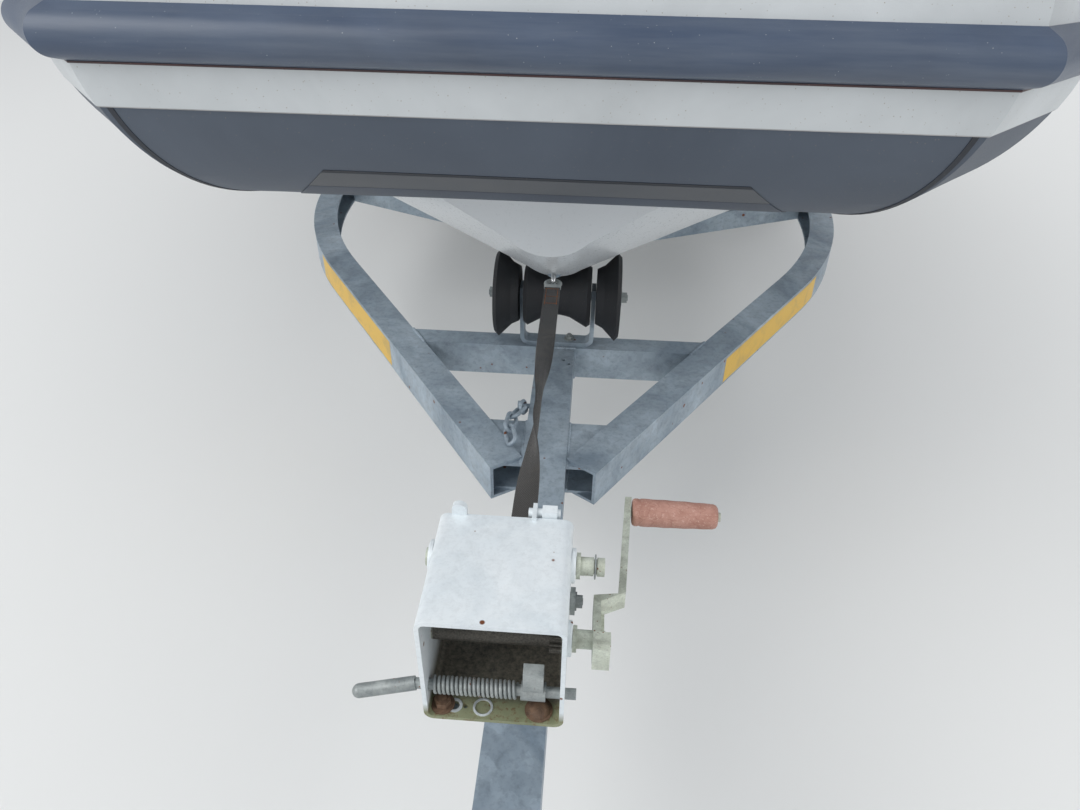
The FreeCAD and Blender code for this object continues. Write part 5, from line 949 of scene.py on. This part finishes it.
def sweptTube():
    count, rings = tubeLook["sides"], []
    farAway = 9.0
    for begin, run, i, first, last, lines in mitredRuns([(2 * math.pi * j / count, tubeR) for j in range(count)]):
        steps = max(3, round((tubeLine[i + 1] - tubeLine[i]).length / tubeLook["step"]))
        for s in range(0 if first else 1, steps + 1):
            ring = []
            for j, (arm, spoke, start, finish) in enumerate(lines):
                along = start + (finish - start) * s / steps
                gap = min(farAway if first else along - start, farAway if last else finish - along)
                fade = max(0.0, 1 - gap / tubeLook["puckerReach"]) ** 2
                wave = 0.5 + 0.5 * math.sin(j * 2 * math.pi * 19 / count + 2.1 * i + 1.3 * math.sin(0.9 * j))
                sag = 0.5 + 0.5 * math.sin(5.1 * along + 3 * 2 * math.pi * j / count + i)
                inset = tubeLook["pucker"] * fade * wave * min(1.0, gap / 0.012) + tubeLook["slack"] * sag * min(1.0, gap / 0.2)
                ring.append(begin + spoke + run * along - arm * inset)
            rings.append(ring)
    for end in (0, -1):
        base = tubeLine[end]
        cone = [[base + (spot - base) * (1 - part * (1 - tubeLook["coneTip"] / tubeR)) + wayY * tubeLook["coneLong"] * part
                 for spot in rings[end]] for part in (0.34, 0.67, 1.0)]
        rings = rings + cone if end else cone[::-1] + rings
    return bridge(bmesh.new(), rings)


tubeMesh = newPiece("tubeSkin", sweptTube(), "greyFabric", stands=["inflatable_tube"], sharp=28).data
stripAlong("fenderLineLow", -15.2, -14.7, 0.2272, 0.0009, "fenderLine")
stripAlong("bandLineLow", -26.9, -26.3, 0.2252, 0.0012, "bandLine")
stripAlong("bandLineHigh", 10.3, 10.9, 0.2252, 0.0012, "bandLine")
print("tube skin ready")

# Tubes: seams at the mitred corners, the bonding strip under the bow with a darker band of painted shade below it,
# valves and end caps
flapLook = {"half": 0.232, "cornerUp": 1.10, "centreUp": 1.249, "back": 0.08, "top": 1.2, "seamReach": 0.36,
            # the last band is a darker sheet on the tube's underside, as painted shade
            "bands": ((-42.0, -40.8, 0.0006, "darkSeam"), (-52.0, -42.0, 0.0009, "bondingTape"),
                      (-100.0, -52.0, 0.0012, "seamTapeAndShade"))}
valveLook = {"turn": math.radians(38), "places": (("fore", 0.62), ("rear", 2.20))}
valveProfile = [(-0.004, 0.0), (-0.004, 0.031), (0.0012, 0.031), (0.0032, 0.0285), (0.0036, 0.0205), (0.0068, 0.0195),
                (0.0092, 0.0175), (0.0096, 0.0085), (0.0082, 0.0075), (0.0082, 0.0)]
coneProfile = [(0.0, 0.0), (0.0, 0.090), (0.003, 0.0945), (0.010, 0.0985), (0.040, 0.1135), (0.0405, 0.110), (0.02, 0.09),
               (0.02, 0.0)]
goreTurn, sideTurn = tubeLook["goreTurn"], tubeLook["sideTurn"]
seams = (("bow", tubeLook["bow"][0] - tubeLook["seamIn"], bowY, goreTurn / 2),
         ("gore", *tubeLook["gore"], (goreTurn + sideTurn) / 2), ("side", *tubeLook["side"], (sideTurn + 90) / 2),
         ("tail", sideX, tubeLook["tailY"] - 0.02, 90), ("aft", sideX, 1.35, 90))
reach = flapLook["seamReach"]
for side, word in named:
    for label, x, y, angle in seams:
        facing = (math.cos(math.radians(angle)) * side, math.sin(math.radians(angle)), 0)
        skin("tubeSeam" + word + "_" + label, tubeMesh, slicePlanes((x * side, y, 0), facing, tubeLook["seamWide"]),
             tubeLook["seamThick"], "darkSeam", keep=lambda spot: abs(spot.x - x * side) < reach and abs(spot.y - y) < reach)
for number, (lowTurn, highTurn, thick, finish) in enumerate(flapLook["bands"]):
    planes = [((side * flapLook["half"], 0, flapLook["cornerUp"]), (side, 0, 1.0)) for side in sides]
    for turn, sign in ((highTurn, 1), (lowTurn, -1)):
        facing = Vector((0, math.sin(math.radians(turn)), math.cos(math.radians(turn)))) * sign
        planes.append(((0, bowY, flapLook["centreUp"]), facing))
    skin("bondingStrip" + str(number + 1), tubeMesh, planes, thick, finish,
         keep=lambda spot: spot.y < bowY + flapLook["back"] and spot.z < flapLook["top"])
for side, word in named:
    for label, y in valveLook["places"]:
        facing = Vector((-side * math.sin(valveLook["turn"]), 0, math.cos(valveLook["turn"])))
        spot = Vector((side * sideX, y, tubeLook["up"])) + facing * tubeR
        turned("inflationValve" + word + "_" + label, spot, facing, valveProfile, 40, "guardPlastic")
    tail = Vector((side * sideX, tubeLook["tailY"] + tubeLook["coneLong"], tubeLook["up"]))
    turned("coneCap" + word, tail, -wayY, coneProfile, 64, "guardPlastic")
print("tubes ready")

# Strap wound on the drum in lanes of slightly different height
rollLook = {"lanes": ((-0.0552, -0.0225, 0.0268), (-0.0225, -0.0075, 0.0279), (-0.0075, 0.0215, 0.0289),
                      (0.0215, 0.0402, 0.0272)),
            "layers": 5, "thick": 0.0023, "core": 0.0165}
rollSpot = middle("winch_strap_roll")
roll = bmesh.new()
for start, finish, outer in rollLook["lanes"]:
    profile = [(start, rollLook["core"])]
    for layer in range(rollLook["layers"]):
        radius = outer - rollLook["thick"] * (rollLook["layers"] - 1 - layer)
        nudge = 0.0004 * math.sin(3.7 * layer + 90 * start)
        profile += [(start + aside + nudge, radius - rollLook["thick"] * under)
                    for aside, under in ((0.0006, 0.85), (0.0002, 0.4), (0.0007, 0))]
    otherEnd = [(start + finish - along, radius) for along, radius in reversed(profile)]
    lathe(roll, (0, rollSpot.y, rollSpot.z), wayX, profile + otherEnd + profile[:1], 64)
newPiece("strapRoll", roll, "rolledWebbing", "winch_drum", ["winch_strap_roll"], sharp=45)

# Seat cushion: swollen by cloth simulation, then its sewn channels and piping
seatLook = {"inset": 0.007, "voxel": 0.006, "pressure": 4.0, "frames": 20, "cap": 0.013, "rounding": 0.022, "channelDeep": 0.006,
            "channelWide": 0.0065, "channels": (1.335, 1.55), "flatUp": 0.03, "pipingRadius": 0.0032, "pipingUnder": 0.024,
            "pipingSteps": 120, "stitchHalf": 0.195, "stitchAside": 0.012, "stitchSteps": 40}


def evaluatedMesh(holder):
    return bpy.data.meshes.new_from_object(holder.evaluated_get(bpy.context.evaluated_depsgraph_get()))


def cushionMesh():
    lowCorner, highCorner = low("seat_cushion"), high("seat_cushion")
    inset = seatLook["inset"]
    within = lowCorner + Vector((inset, inset, 0)), highCorner - Vector((inset, inset, inset))
    bm = brick(bmesh.new(), *within, seatLook["rounding"], 4)
    mesh = bpy.data.meshes.new("cushionStart")
    bm.to_mesh(mesh)
    bm.free()
    holder = bpy.data.objects.new("cushionStart", mesh)
    bpy.context.collection.objects.link(holder)
    remesh = holder.modifiers.new("remesh", "REMESH")
    remesh.mode = "VOXEL"
    remesh.voxel_size = seatLook["voxel"] * 1
    fine = evaluatedMesh(holder)
    holder.modifiers.clear()
    holder.data = fine
    start = [vertex.co.copy() for vertex in fine.vertices]
    pinned = holder.vertex_groups.new(name="pinned")
    pinned.add([i for i, spot in enumerate(start) if spot.z < lowCorner.z + 0.004], 1.0, "REPLACE")
    cloth = holder.modifiers.new("cloth", "CLOTH")
    cloth.settings.quality = 6
    cloth.settings.mass = 0.25
    cloth.settings.use_pressure = True
    cloth.settings.uniform_pressure_force = seatLook["pressure"]
    cloth.settings.vertex_group_mass = "pinned"
    cloth.settings.effector_weights.gravity = 0
    cloth.collision_settings.use_collision = False
    scene = bpy.context.scene
    for frameNumber in range(1, seatLook["frames"] + 1):
        scene.frame_set(frameNumber)
        evaluated = holder.evaluated_get(bpy.context.evaluated_depsgraph_get())
        spots = [vertex.co.copy() for vertex in evaluated.data.vertices]
    scene.frame_set(1)
    holder.modifiers.clear()
    for vertex, old, new in zip(fine.vertices, start, spots):
        move = new - old
        if move.length > seatLook["cap"]:
            move = move.normalized() * seatLook["cap"]
        vertex.co = old + move
    smooth = holder.modifiers.new("smooth", "SUBSURF")
    smooth.levels = smooth.render_levels = 1
    result = evaluatedMesh(holder)
    bpy.data.objects.remove(holder)
    top = max(vertex.co.z for vertex in result.vertices)
    flat = lowCorner.z + seatLook["flatUp"]
    for vertex in result.vertices:
        share = max(0.0, min(1.0, (vertex.co.z - flat) / (top - flat)))
        for place in seatLook["channels"]:
            vertex.co.z -= seatLook["channelDeep"] * share * math.exp(-((vertex.co.y - place) / seatLook["channelWide"]) ** 2)
    return result


cushion = cushionMesh()
cushionShape = treeOf(cushion)
newPiece("seatPad", cushion, "vinyl", stands=["seat_cushion"], sharp=70)
seatMiddle = middle("seat_cushion")
seatMiddle.z = high("seat_cushion").z - seatLook["pipingUnder"]
piping = []
for i in range(seatLook["pipingSteps"]):
    angle = 2 * math.pi * i / seatLook["pipingSteps"]
    x, y = (math.copysign(abs(value) ** 0.35, value) for value in (math.cos(angle), math.sin(angle)))
    far, aim = seatMiddle + Vector((x * 0.4, y * 0.6, 0)), seatMiddle + Vector((x * 0.15, y * 0.24, 0))
    hit = cushionShape.ray_cast(far, (aim - far).normalized())[0]
    if hit:
        piping.append(hit)
newPiece("seatPiping", pipe(piping, seatLook["pipingRadius"], closed=True), "seamTapeAndShade", sharp=80)
stitches = []
for place in seatLook["channels"]:
    for shift in (-seatLook["stitchAside"], seatLook["stitchAside"]):
        xs = [seatLook["stitchHalf"] * (2 * i / seatLook["stitchSteps"] - 1) for i in range(seatLook["stitchSteps"] + 1)]
        hits = [cushionShape.ray_cast(Vector((x, place + shift, 1.6)), -wayZ)[0] for x in xs]
        stitches.append([hit + wayZ * 0.0002 for hit in hits if hit])
beadsAlong("seatStitches", stitches, "seamTapeAndShade", 0.0062, (0.0022, 0.0006, 0.0005), 0.08, 3)
print("seat ready")

# Console: dash panel on the slope, dials, rocker switches, key, throttle, doors and screen fixings
dash = {"y": 0.873, "z": 1.400, "slope": (0.44721, 0.89443), "panel": (0.205, 0.034, 0.136), "ticks": 11, "needle": 222,
        "dials": ((-0.092, 0.090, 0.037), (0.0, 0.094, 0.030), (0.092, 0.090, 0.037)),
        "switches": 5, "switchX": 0.148, "switchUp": 0.050, "switchPitch": 0.0182}
lean, rest = dash["slope"]
dashTurn = Matrix((wayX, Vector((0, -lean, rest)), Vector((0, rest, lean)))).transposed().to_4x4()
dashTurn.translation = Vector((0, dash["y"], dash["z"]))


def dashPiece(name, bm, finish):
    # lays what was built flat onto the dash
    bmesh.ops.transform(bm, matrix=dashTurn, verts=bm.verts)
    newPiece(name, bm, finish)


half, lowEdge, highEdge = dash["panel"]
dashPiece("dashPanel", brick(bmesh.new(), (-half, lowEdge, -0.001), (half, highEdge, 0.003), 0.0018, 2), "guardPlastic")
bezels, faces, marks, needles = bmesh.new(), bmesh.new(), bmesh.new(), bmesh.new()
for x, up, radius in dash["dials"]:
    bezel = ((0.0, -0.004), (0.0, 0.001), (0.003, 0.001), (0.0052, -0.001), (0.0048, -0.0035), (0.002, -0.004), (0.0, -0.004))
    lathe(bezels, (x, up, 0.003), wayZ, [(along, radius + more) for along, more in bezel], 48)
    lathe(faces, (x, up, 0.003), wayZ, [(0.0, 0.0), (0.0, radius - 0.003), (0.0012, radius - 0.003), (0.0012, 0.0)], 40)
    for tick in range(dash["ticks"]):
        mark = brick(bmesh.new(), (radius * (0.66 if tick % 5 else 0.56), -0.0005, 0.0041), (radius * 0.82, 0.0005, 0.0046))
        addTo(marks, moved(mark, math.radians(225 - 270 * tick / (dash["ticks"] - 1)), "Z", (x, up, 0)))
    needle = brick(bmesh.new(), (-0.005, -0.0007, 0.0047), (radius * 0.7, 0.0007, 0.0054))
    addTo(needles, moved(needle, math.radians(dash["needle"]), "Z", (x, up, 0)))
    lathe(needles, (x, up, 0.0041), wayZ, [(0.0, 0.0), (0.0, 0.0032), (0.0018, 0.0028), (0.0021, 0.0)], 24)
dashPiece("dialBezels", bezels, "stainless")
dashPiece("dialFaces", faces, "darkVoid")
dashPiece("dialMarks", marks, "plateWhite")
dashPiece("dialNeedles", needles, "lampAmber")
switches = bmesh.new()
for i in range(dash["switches"]):
    for side in sides:
        x, up = side * dash["switchX"], dash["switchUp"] + dash["switchPitch"] * i
        brick(switches, (x - 0.0105, up - 0.0068, 0.002), (x + 0.0105, up + 0.0068, 0.0062), 0.0012, 2)
        brick(switches, (x - 0.0075, up - 0.0045, 0.0055), (x + 0.0075, up + 0.0045, 0.0092), 0.0014, 2)
dashPiece("rockerSwitches", switches, "blackRubber")
keyPlate = [(0, 0), (0, 0.0115), (0.004, 0.011), (0.0052, 0.0088), (0.0052, 0.0)]
key = lathe(bmesh.new(), (0.186, 0.06, 0.0025), wayZ, keyPlate, 32)
dashPiece("ignitionKey", brick(key, (0.1845, 0.052, 0.007), (0.1875, 0.068, 0.026), 0.0008, 1), "stainless")

throttleBase = [(0.0, 0.0), (0.0, 0.026), (0.010, 0.0235), (0.013, 0.019), (0.013, 0.0)]
throttle = brick(bmesh.new(), (0.2595, 0.770, 1.285), (0.2885, 0.868, 1.385), 0.008, 3)
newPiece("throttleBox", lathe(throttle, (0.2880, 0.824, 1.335), wayX, throttleBase, 40), "guardPlastic")
lever = bmesh.new()
lever.from_mesh(pipe([(0.298, 0.824, 1.335), (0.302, 0.835, 1.385), (0.302, 0.852, 1.440)], 0.0068))
newPiece("throttleLever", lever, "stainless")
leverKnob = [(0.0, 0.0), (0.0, 0.011), (0.004, 0.0145), (0.020, 0.0165), (0.034, 0.0140), (0.040, 0.0085), (0.0415, 0.0)]
turned("throttleKnob", (0.302, 0.848, 1.428), (0, 0.29, 0.957), leverKnob, 36, "blackRubber")
newPiece("consoleDoor", brick(bmesh.new(), (-0.17, 0.8728, 0.93), (0.17, 0.8765, 1.29), 0.003, 2), "gelcoat")
podDoor = brick(bmesh.new(), (-0.15, -0.003, 0.08), (0.15, 0.0028, 0.40), 0.0024, 2)
newPiece("seatDoor", moved(podDoor, math.atan2(0.06, 0.50), "X", (0, 1.203, 0.84)), "gelcoat")
doorLatch = [(0, 0), (0, 0.017), (0.003, 0.016), (0.004, 0.012), (0.0075, 0.011), (0.0085, 0.0)]
latches = lathe(bmesh.new(), (0.142, 0.876, 1.11), wayY, doorLatch, 36)
lockerLatch = [(0, 0), (0, 0.006), (0.002, 0.0055), (0.003, 0.0)]
newPiece("doorLatch", lathe(latches, (0.0, -0.4345, 1.094), wayY, lockerLatch, 24), "stainless")
screenLow = low("windscreen")
screenSpots = [(x, screenLow.y - 0.001, screenLow.z + 0.018) for x in (-0.19, -0.095, 0.0, 0.095, 0.19)]
boltsAt("screenBolts", [(spot, (0, -1, 0.1)) for spot in screenSpots], "stainless", 0.0048, 0.2)
print("console ready")

# Motor: cowl with its seam, trim, air slots and latch, water inlets and propeller nut
# A level of the cowl: height, front, back, half width, rounding
cowlLow, cowlHigh = low("motor_cowl"), high("motor_cowl")
cowlRows = ((0.0, 0.040, 0.440, 0.110, 0.05), (0.09, 0.006, 0.536, 0.175, 0.07), (0.30, 0.0, 0.560, 0.185, 0.07),
            (0.44, 0.030, 0.524, 0.163, 0.07), (0.50, 0.070, 0.470, 0.125, 0.06), (0.5197, 0.130, 0.400, 0.075, 0.045))
cowlLook = {"levels": 6, "corner": 10, "slots": 7, "slotX": 0.1835, "slotDeep": 0.006, "slotFrom": 0.20, "slotPitch": 0.022,
            "slotWide": 0.010, "slotLow": 0.20, "slotHigh": 0.275}
inletLook = {"count": 5, "start": 2.548, "pitch": 0.012, "wide": 0.006, "low": 0.363, "high": 0.393, "proud": 0.0004,
             "sunk": 0.0014}


def cowlSections():
    # levels between the given ones on a smooth curve that never bulges past them
    rows = (cowlRows[0], *cowlRows, cowlRows[-1])
    for four in zip(rows, rows[1:], rows[2:], rows[3:]):
        for step in range(cowlLook["levels"]):
            t = step / cowlLook["levels"]
            mixed = []
            for column, (a, b, c, d) in enumerate(zip(*four)):
                value = 0.5 * (2 * b + (c - a) * t + (2 * a - 5 * b + 4 * c - d) * t * t + (3 * b - a - 3 * c + d) * t ** 3)
                spare = 0.0 if column in (0, 4) else 0.004
                mixed.append(min(max(value, min(b, c) - spare), max(b, c)))
            yield mixed
    yield cowlRows[-1]


def cowlMesh():
    rings = []
    for up, front, back, wide, rounding in cowlSections():
        frontY = cowlLow.y + max(0.0, front) + rounding
        backY = min(cowlLow.y + back, cowlHigh.y - 0.0008) - rounding
        ring = []
        for sx, centreY, begin in ((1, frontY, -90), (1, backY, 0), (-1, backY, 90), (-1, frontY, 180)):
            for step in range(cowlLook["corner"] + 1):
                angle = math.radians(begin + 90 * step / cowlLook["corner"])
                x, y = sx * (wide - rounding) + rounding * math.cos(angle), centreY + rounding * math.sin(angle)
                ring.append((x, y, cowlLow.z + up))
        rings.append(ring)
    return bridge(bmesh.new(), rings)


cowl = newPiece("cowlShell", cowlMesh(), "motorPaint", "motor", ["motor_cowl"], sharp=32).data
skin("cowlSeal", cowl, slicePlanes((0, 0, cowlLow.z + 0.098), wayZ, 0.010), 0.0014, "blackRubber", "motor")
skin("cowlTrim", cowl, slicePlanes((0, 0, cowlLow.z + 0.330), wayZ, 0.052), 0.0007, "motorMetal", "motor")
# the air slots are dark blocks on the cowl: painted shade for the openings
slots = bmesh.new()
for i in range(cowlLook["slots"]):
    for side in sides:
        near, far = sorted((side * cowlLook["slotX"], side * (cowlLook["slotX"] - cowlLook["slotDeep"])))
        y = cowlLow.y + cowlLook["slotFrom"] + cowlLook["slotPitch"] * i
        brick(slots, (near, y, cowlLow.z + cowlLook["slotLow"]),
              (far, y + cowlLook["slotWide"], cowlLow.z + cowlLook["slotHigh"]), 0.0022, 2)
newPiece("cowlSlots", slots, "darkVoid", "motor")
latch = brick(bmesh.new(), (-0.028, cowlHigh.y - 0.022, cowlLow.z + 0.060),
              (0.028, cowlHigh.y - 0.004, cowlLow.z + 0.128), 0.005, 3)
newPiece("cowlLatch", latch, "guardPlastic", "motor")

legShape = treeOf(cadNodes["motor_leg"].data)
# the water inlets are dark slots on the leg: painted shade for the openings
inlets = bmesh.new()
for i in range(inletLook["count"]):
    for side in sides:
        near = inletLook["start"] + inletLook["pitch"] * i
        far = near + inletLook["wide"]
        corners = ((near, inletLook["low"]), (near, inletLook["high"]), (far, inletLook["high"]), (far, inletLook["low"]))
        spots = [legShape.ray_cast(Vector((side * 0.3, y, z)), wayX * -side)[0] for y, z in corners]
        bridge(inlets, [[spot + wayX * side * out for spot in spots] for out in (inletLook["proud"], -inletLook["sunk"])])
newPiece("waterInlets", inlets, "darkVoid", "motor")
propAxis = Vector((0, high("propeller").y, low("motor_leg").z + 0.150))
propCone = [(-0.0002, 0.0082), (-0.0002, 0.040), (0.002, 0.0395), (0.003, 0.030), (0.003, 0.0082), (-0.0002, 0.0082)]
turned("propellerCone", propAxis, wayY, propCone, 48, "bladeMetal", "propeller")
boltsAt("propellerNut", [(propAxis + wayY * 0.0032, wayY)], "dullZinc", 0.0125, 0.2, "propeller")
boltsAt("transomBolts", [((side * 0.085, 2.4035, z), wayY) for side in sides for z in (0.70, 0.83)], "stainless", 0.0095, 0.6)
print("motor ready")

# Rear lights: ribbed lenses on black bases, blank number plate, reflectors and screws
lampLow, lampHigh = low("rear_lamps"), high("rear_lamps")
lampLook = {"wide": 0.19, "base": 0.014, "ribs": 18, "redShare": 12, "edge": 0.004}
rearLook = {"plate": ((-0.2585, 2.3776, 0.3335), (0.2585, 2.3788, 0.4425)), "reflector": (0.41, 2.3785, 0.378),
            "boltX": (-0.53, -0.30, 0.30, 0.53), "boltY": 2.3755, "boltZ": (0.35, 0.43)}
outer, edge = lampHigh.x, lampLook["edge"]
pitchWide = (lampLook["wide"] - 2 * edge) / lampLook["ribs"]
lampBase, redLens, amberLens = bmesh.new(), bmesh.new(), bmesh.new()
for side in sides:
    near, far = sorted((side * outer, side * (outer - lampLook["wide"])))
    brick(lampBase, (near, lampLow.y, lampLow.z), (far, lampLow.y + lampLook["base"], lampHigh.z), 0.004, 2)
    for i in range(lampLook["ribs"]):
        x = side * (outer - edge - pitchWide * (i + 0.5))
        brick(amberLens if i < lampLook["ribs"] - lampLook["redShare"] else redLens,
              (x - pitchWide * 0.5, lampLow.y + lampLook["base"] - 0.002, lampLow.z + edge),
              (x + pitchWide * 0.5, lampHigh.y - 0.0005, lampHigh.z - edge), 0.0022, 2)
newPiece("lampBases", lampBase, "guardPlastic", stands=["rear_lamps"])
newPiece("lampLensesRed", redLens, "lampRed")
newPiece("lampLensesAmber", amberLens, "lampAmber")
newPiece("numberPlate", brick(bmesh.new(), *rearLook["plate"], 0.0004, 1), "plateWhite")
triangles = bmesh.new()
quarter = math.radians(-90)
pointUp = Matrix.Rotation(quarter, 3, "X") @ Matrix.Rotation(quarter, 3, "Z")
x, y, z = rearLook["reflector"]
for side in sides:
    made = bmesh.ops.create_cone(triangles, cap_ends=True, segments=3, radius1=0.050, radius2=0.047, depth=0.007)["verts"]
    bmesh.ops.rotate(triangles, verts=made, cent=(0, 0, 0), matrix=pointUp)
    bmesh.ops.translate(triangles, verts=made, vec=(side * x, y, z))
bmesh.ops.bevel(triangles, geom=triangles.edges[:], offset=0.0012, segments=2, affect="EDGES", profile=0.5)
newPiece("reflectors", triangles, "lampRed")
boardSpots = [(x, rearLook["boltY"], z) for x in rearLook["boltX"] for z in rearLook["boltZ"]]
boltsAt("boardBolts", [(spot, wayY) for spot in boardSpots], "dullZinc", 0.006, 0.4)
print("rear lights ready")

# Floor, soft studio light and the camera at the photograph's place
studio = {"floorSize": 60.0, "floorTone": tone(230, 230, 228), "skyTone": (0.93, 0.96, 1.0, 1), "skyStrength": 0.7,
          "seenTone": (0.5, 0.503, 0.507, 1),
          "lamps": (("key", (-4.2, -4.6, 5.2), (0, -1.2, 0.8), 270.0, 5.0), ("fill", (5.0, -3.0, 3.6), (0, -0.8, 0.8), 80.0, 4.0),
                    ("back", (2.5, 6.0, 4.5), (0, 1.5, 0.8), 90.0, 4.0))}
photoCamera = {"place": (0.066, -2.587, 1.4237), "pitch": 0.63693, "yaw": -0.0665, "roll": -0.01327, "focalPixels": 811.0,
               "imageWide": 1080.0, "sensor": 36.0, "clip": (0.05, 200)}

floorMesh = bpy.data.meshes.new("floor")
half = studio["floorSize"] / 2
floorMesh.from_pydata([(-half, -half, 0), (half, -half, 0), (half, half, 0), (-half, half, 0)], [], [(0, 1, 2, 3)])
floor = bpy.data.objects.new("floor", floorMesh)
bpy.context.collection.objects.link(floor)
tree, shader = newMaterial("floorPaper", Roughness=0.9, Base_Color=studio["floorTone"])
floorMesh.materials.append(materials["floorPaper"])

world = bpy.data.worlds.new("studio")
bpy.context.scene.world = world
world.use_nodes = True
tree = world.node_tree
sky = tree.nodes["Background"]
sky.inputs["Color"].default_value = studio["skyTone"]
sky.inputs["Strength"].default_value = studio["skyStrength"]
seen = put(tree, "ShaderNodeBackground", {"Color": studio["seenTone"], "Strength": 1.0})
rays = put(tree, "ShaderNodeLightPath").outputs
anyRay = maths(tree, "MAXIMUM", rays["Is Camera Ray"], rays["Is Glossy Ray"])
anyRay = maths(tree, "MAXIMUM", anyRay, rays["Is Transmission Ray"])
choice = put(tree, "ShaderNodeMixShader", {0: anyRay, 1: sky.outputs[0], 2: seen.outputs[0]})
tree.links.new(choice.outputs[0], tree.nodes["World Output"].inputs["Surface"])
for name, place, aim, power, size in studio["lamps"]:
    light = bpy.data.lights.new(name, "AREA")
    light.energy = power
    light.size = size
    lamp = bpy.data.objects.new(name, light)
    lamp.location = place
    lamp.rotation_euler = (Vector(aim) - Vector(place)).to_track_quat("-Z", "Y").to_euler()
    bpy.context.collection.objects.link(lamp)

pitch, yaw, roll = photoCamera["pitch"], photoCamera["yaw"], photoCamera["roll"]
ahead = Vector((math.sin(yaw) * math.cos(pitch), math.cos(yaw) * math.cos(pitch), -math.sin(pitch)))
aside = Vector((math.cos(yaw), -math.sin(yaw), 0))
down = ahead.cross(aside)
right = math.cos(roll) * aside + math.sin(roll) * down
under = -math.sin(roll) * aside + math.cos(roll) * down
lens = bpy.data.cameras.new("photoCamera")
lens.sensor_fit = "HORIZONTAL"
lens.sensor_width = photoCamera["sensor"]
lens.lens = photoCamera["focalPixels"] / photoCamera["imageWide"] * photoCamera["sensor"]
lens.clip_start, lens.clip_end = photoCamera["clip"]
camera = bpy.data.objects.new("photoCamera", lens)
pose = Matrix((right, -under, -ahead)).transposed().to_4x4()
pose.translation = photoCamera["place"]
camera.matrix_world = pose
bpy.context.collection.objects.link(camera)
bpy.context.scene.camera = camera
bpy.context.scene.view_settings.view_transform = "Standard"

print("scene complete")
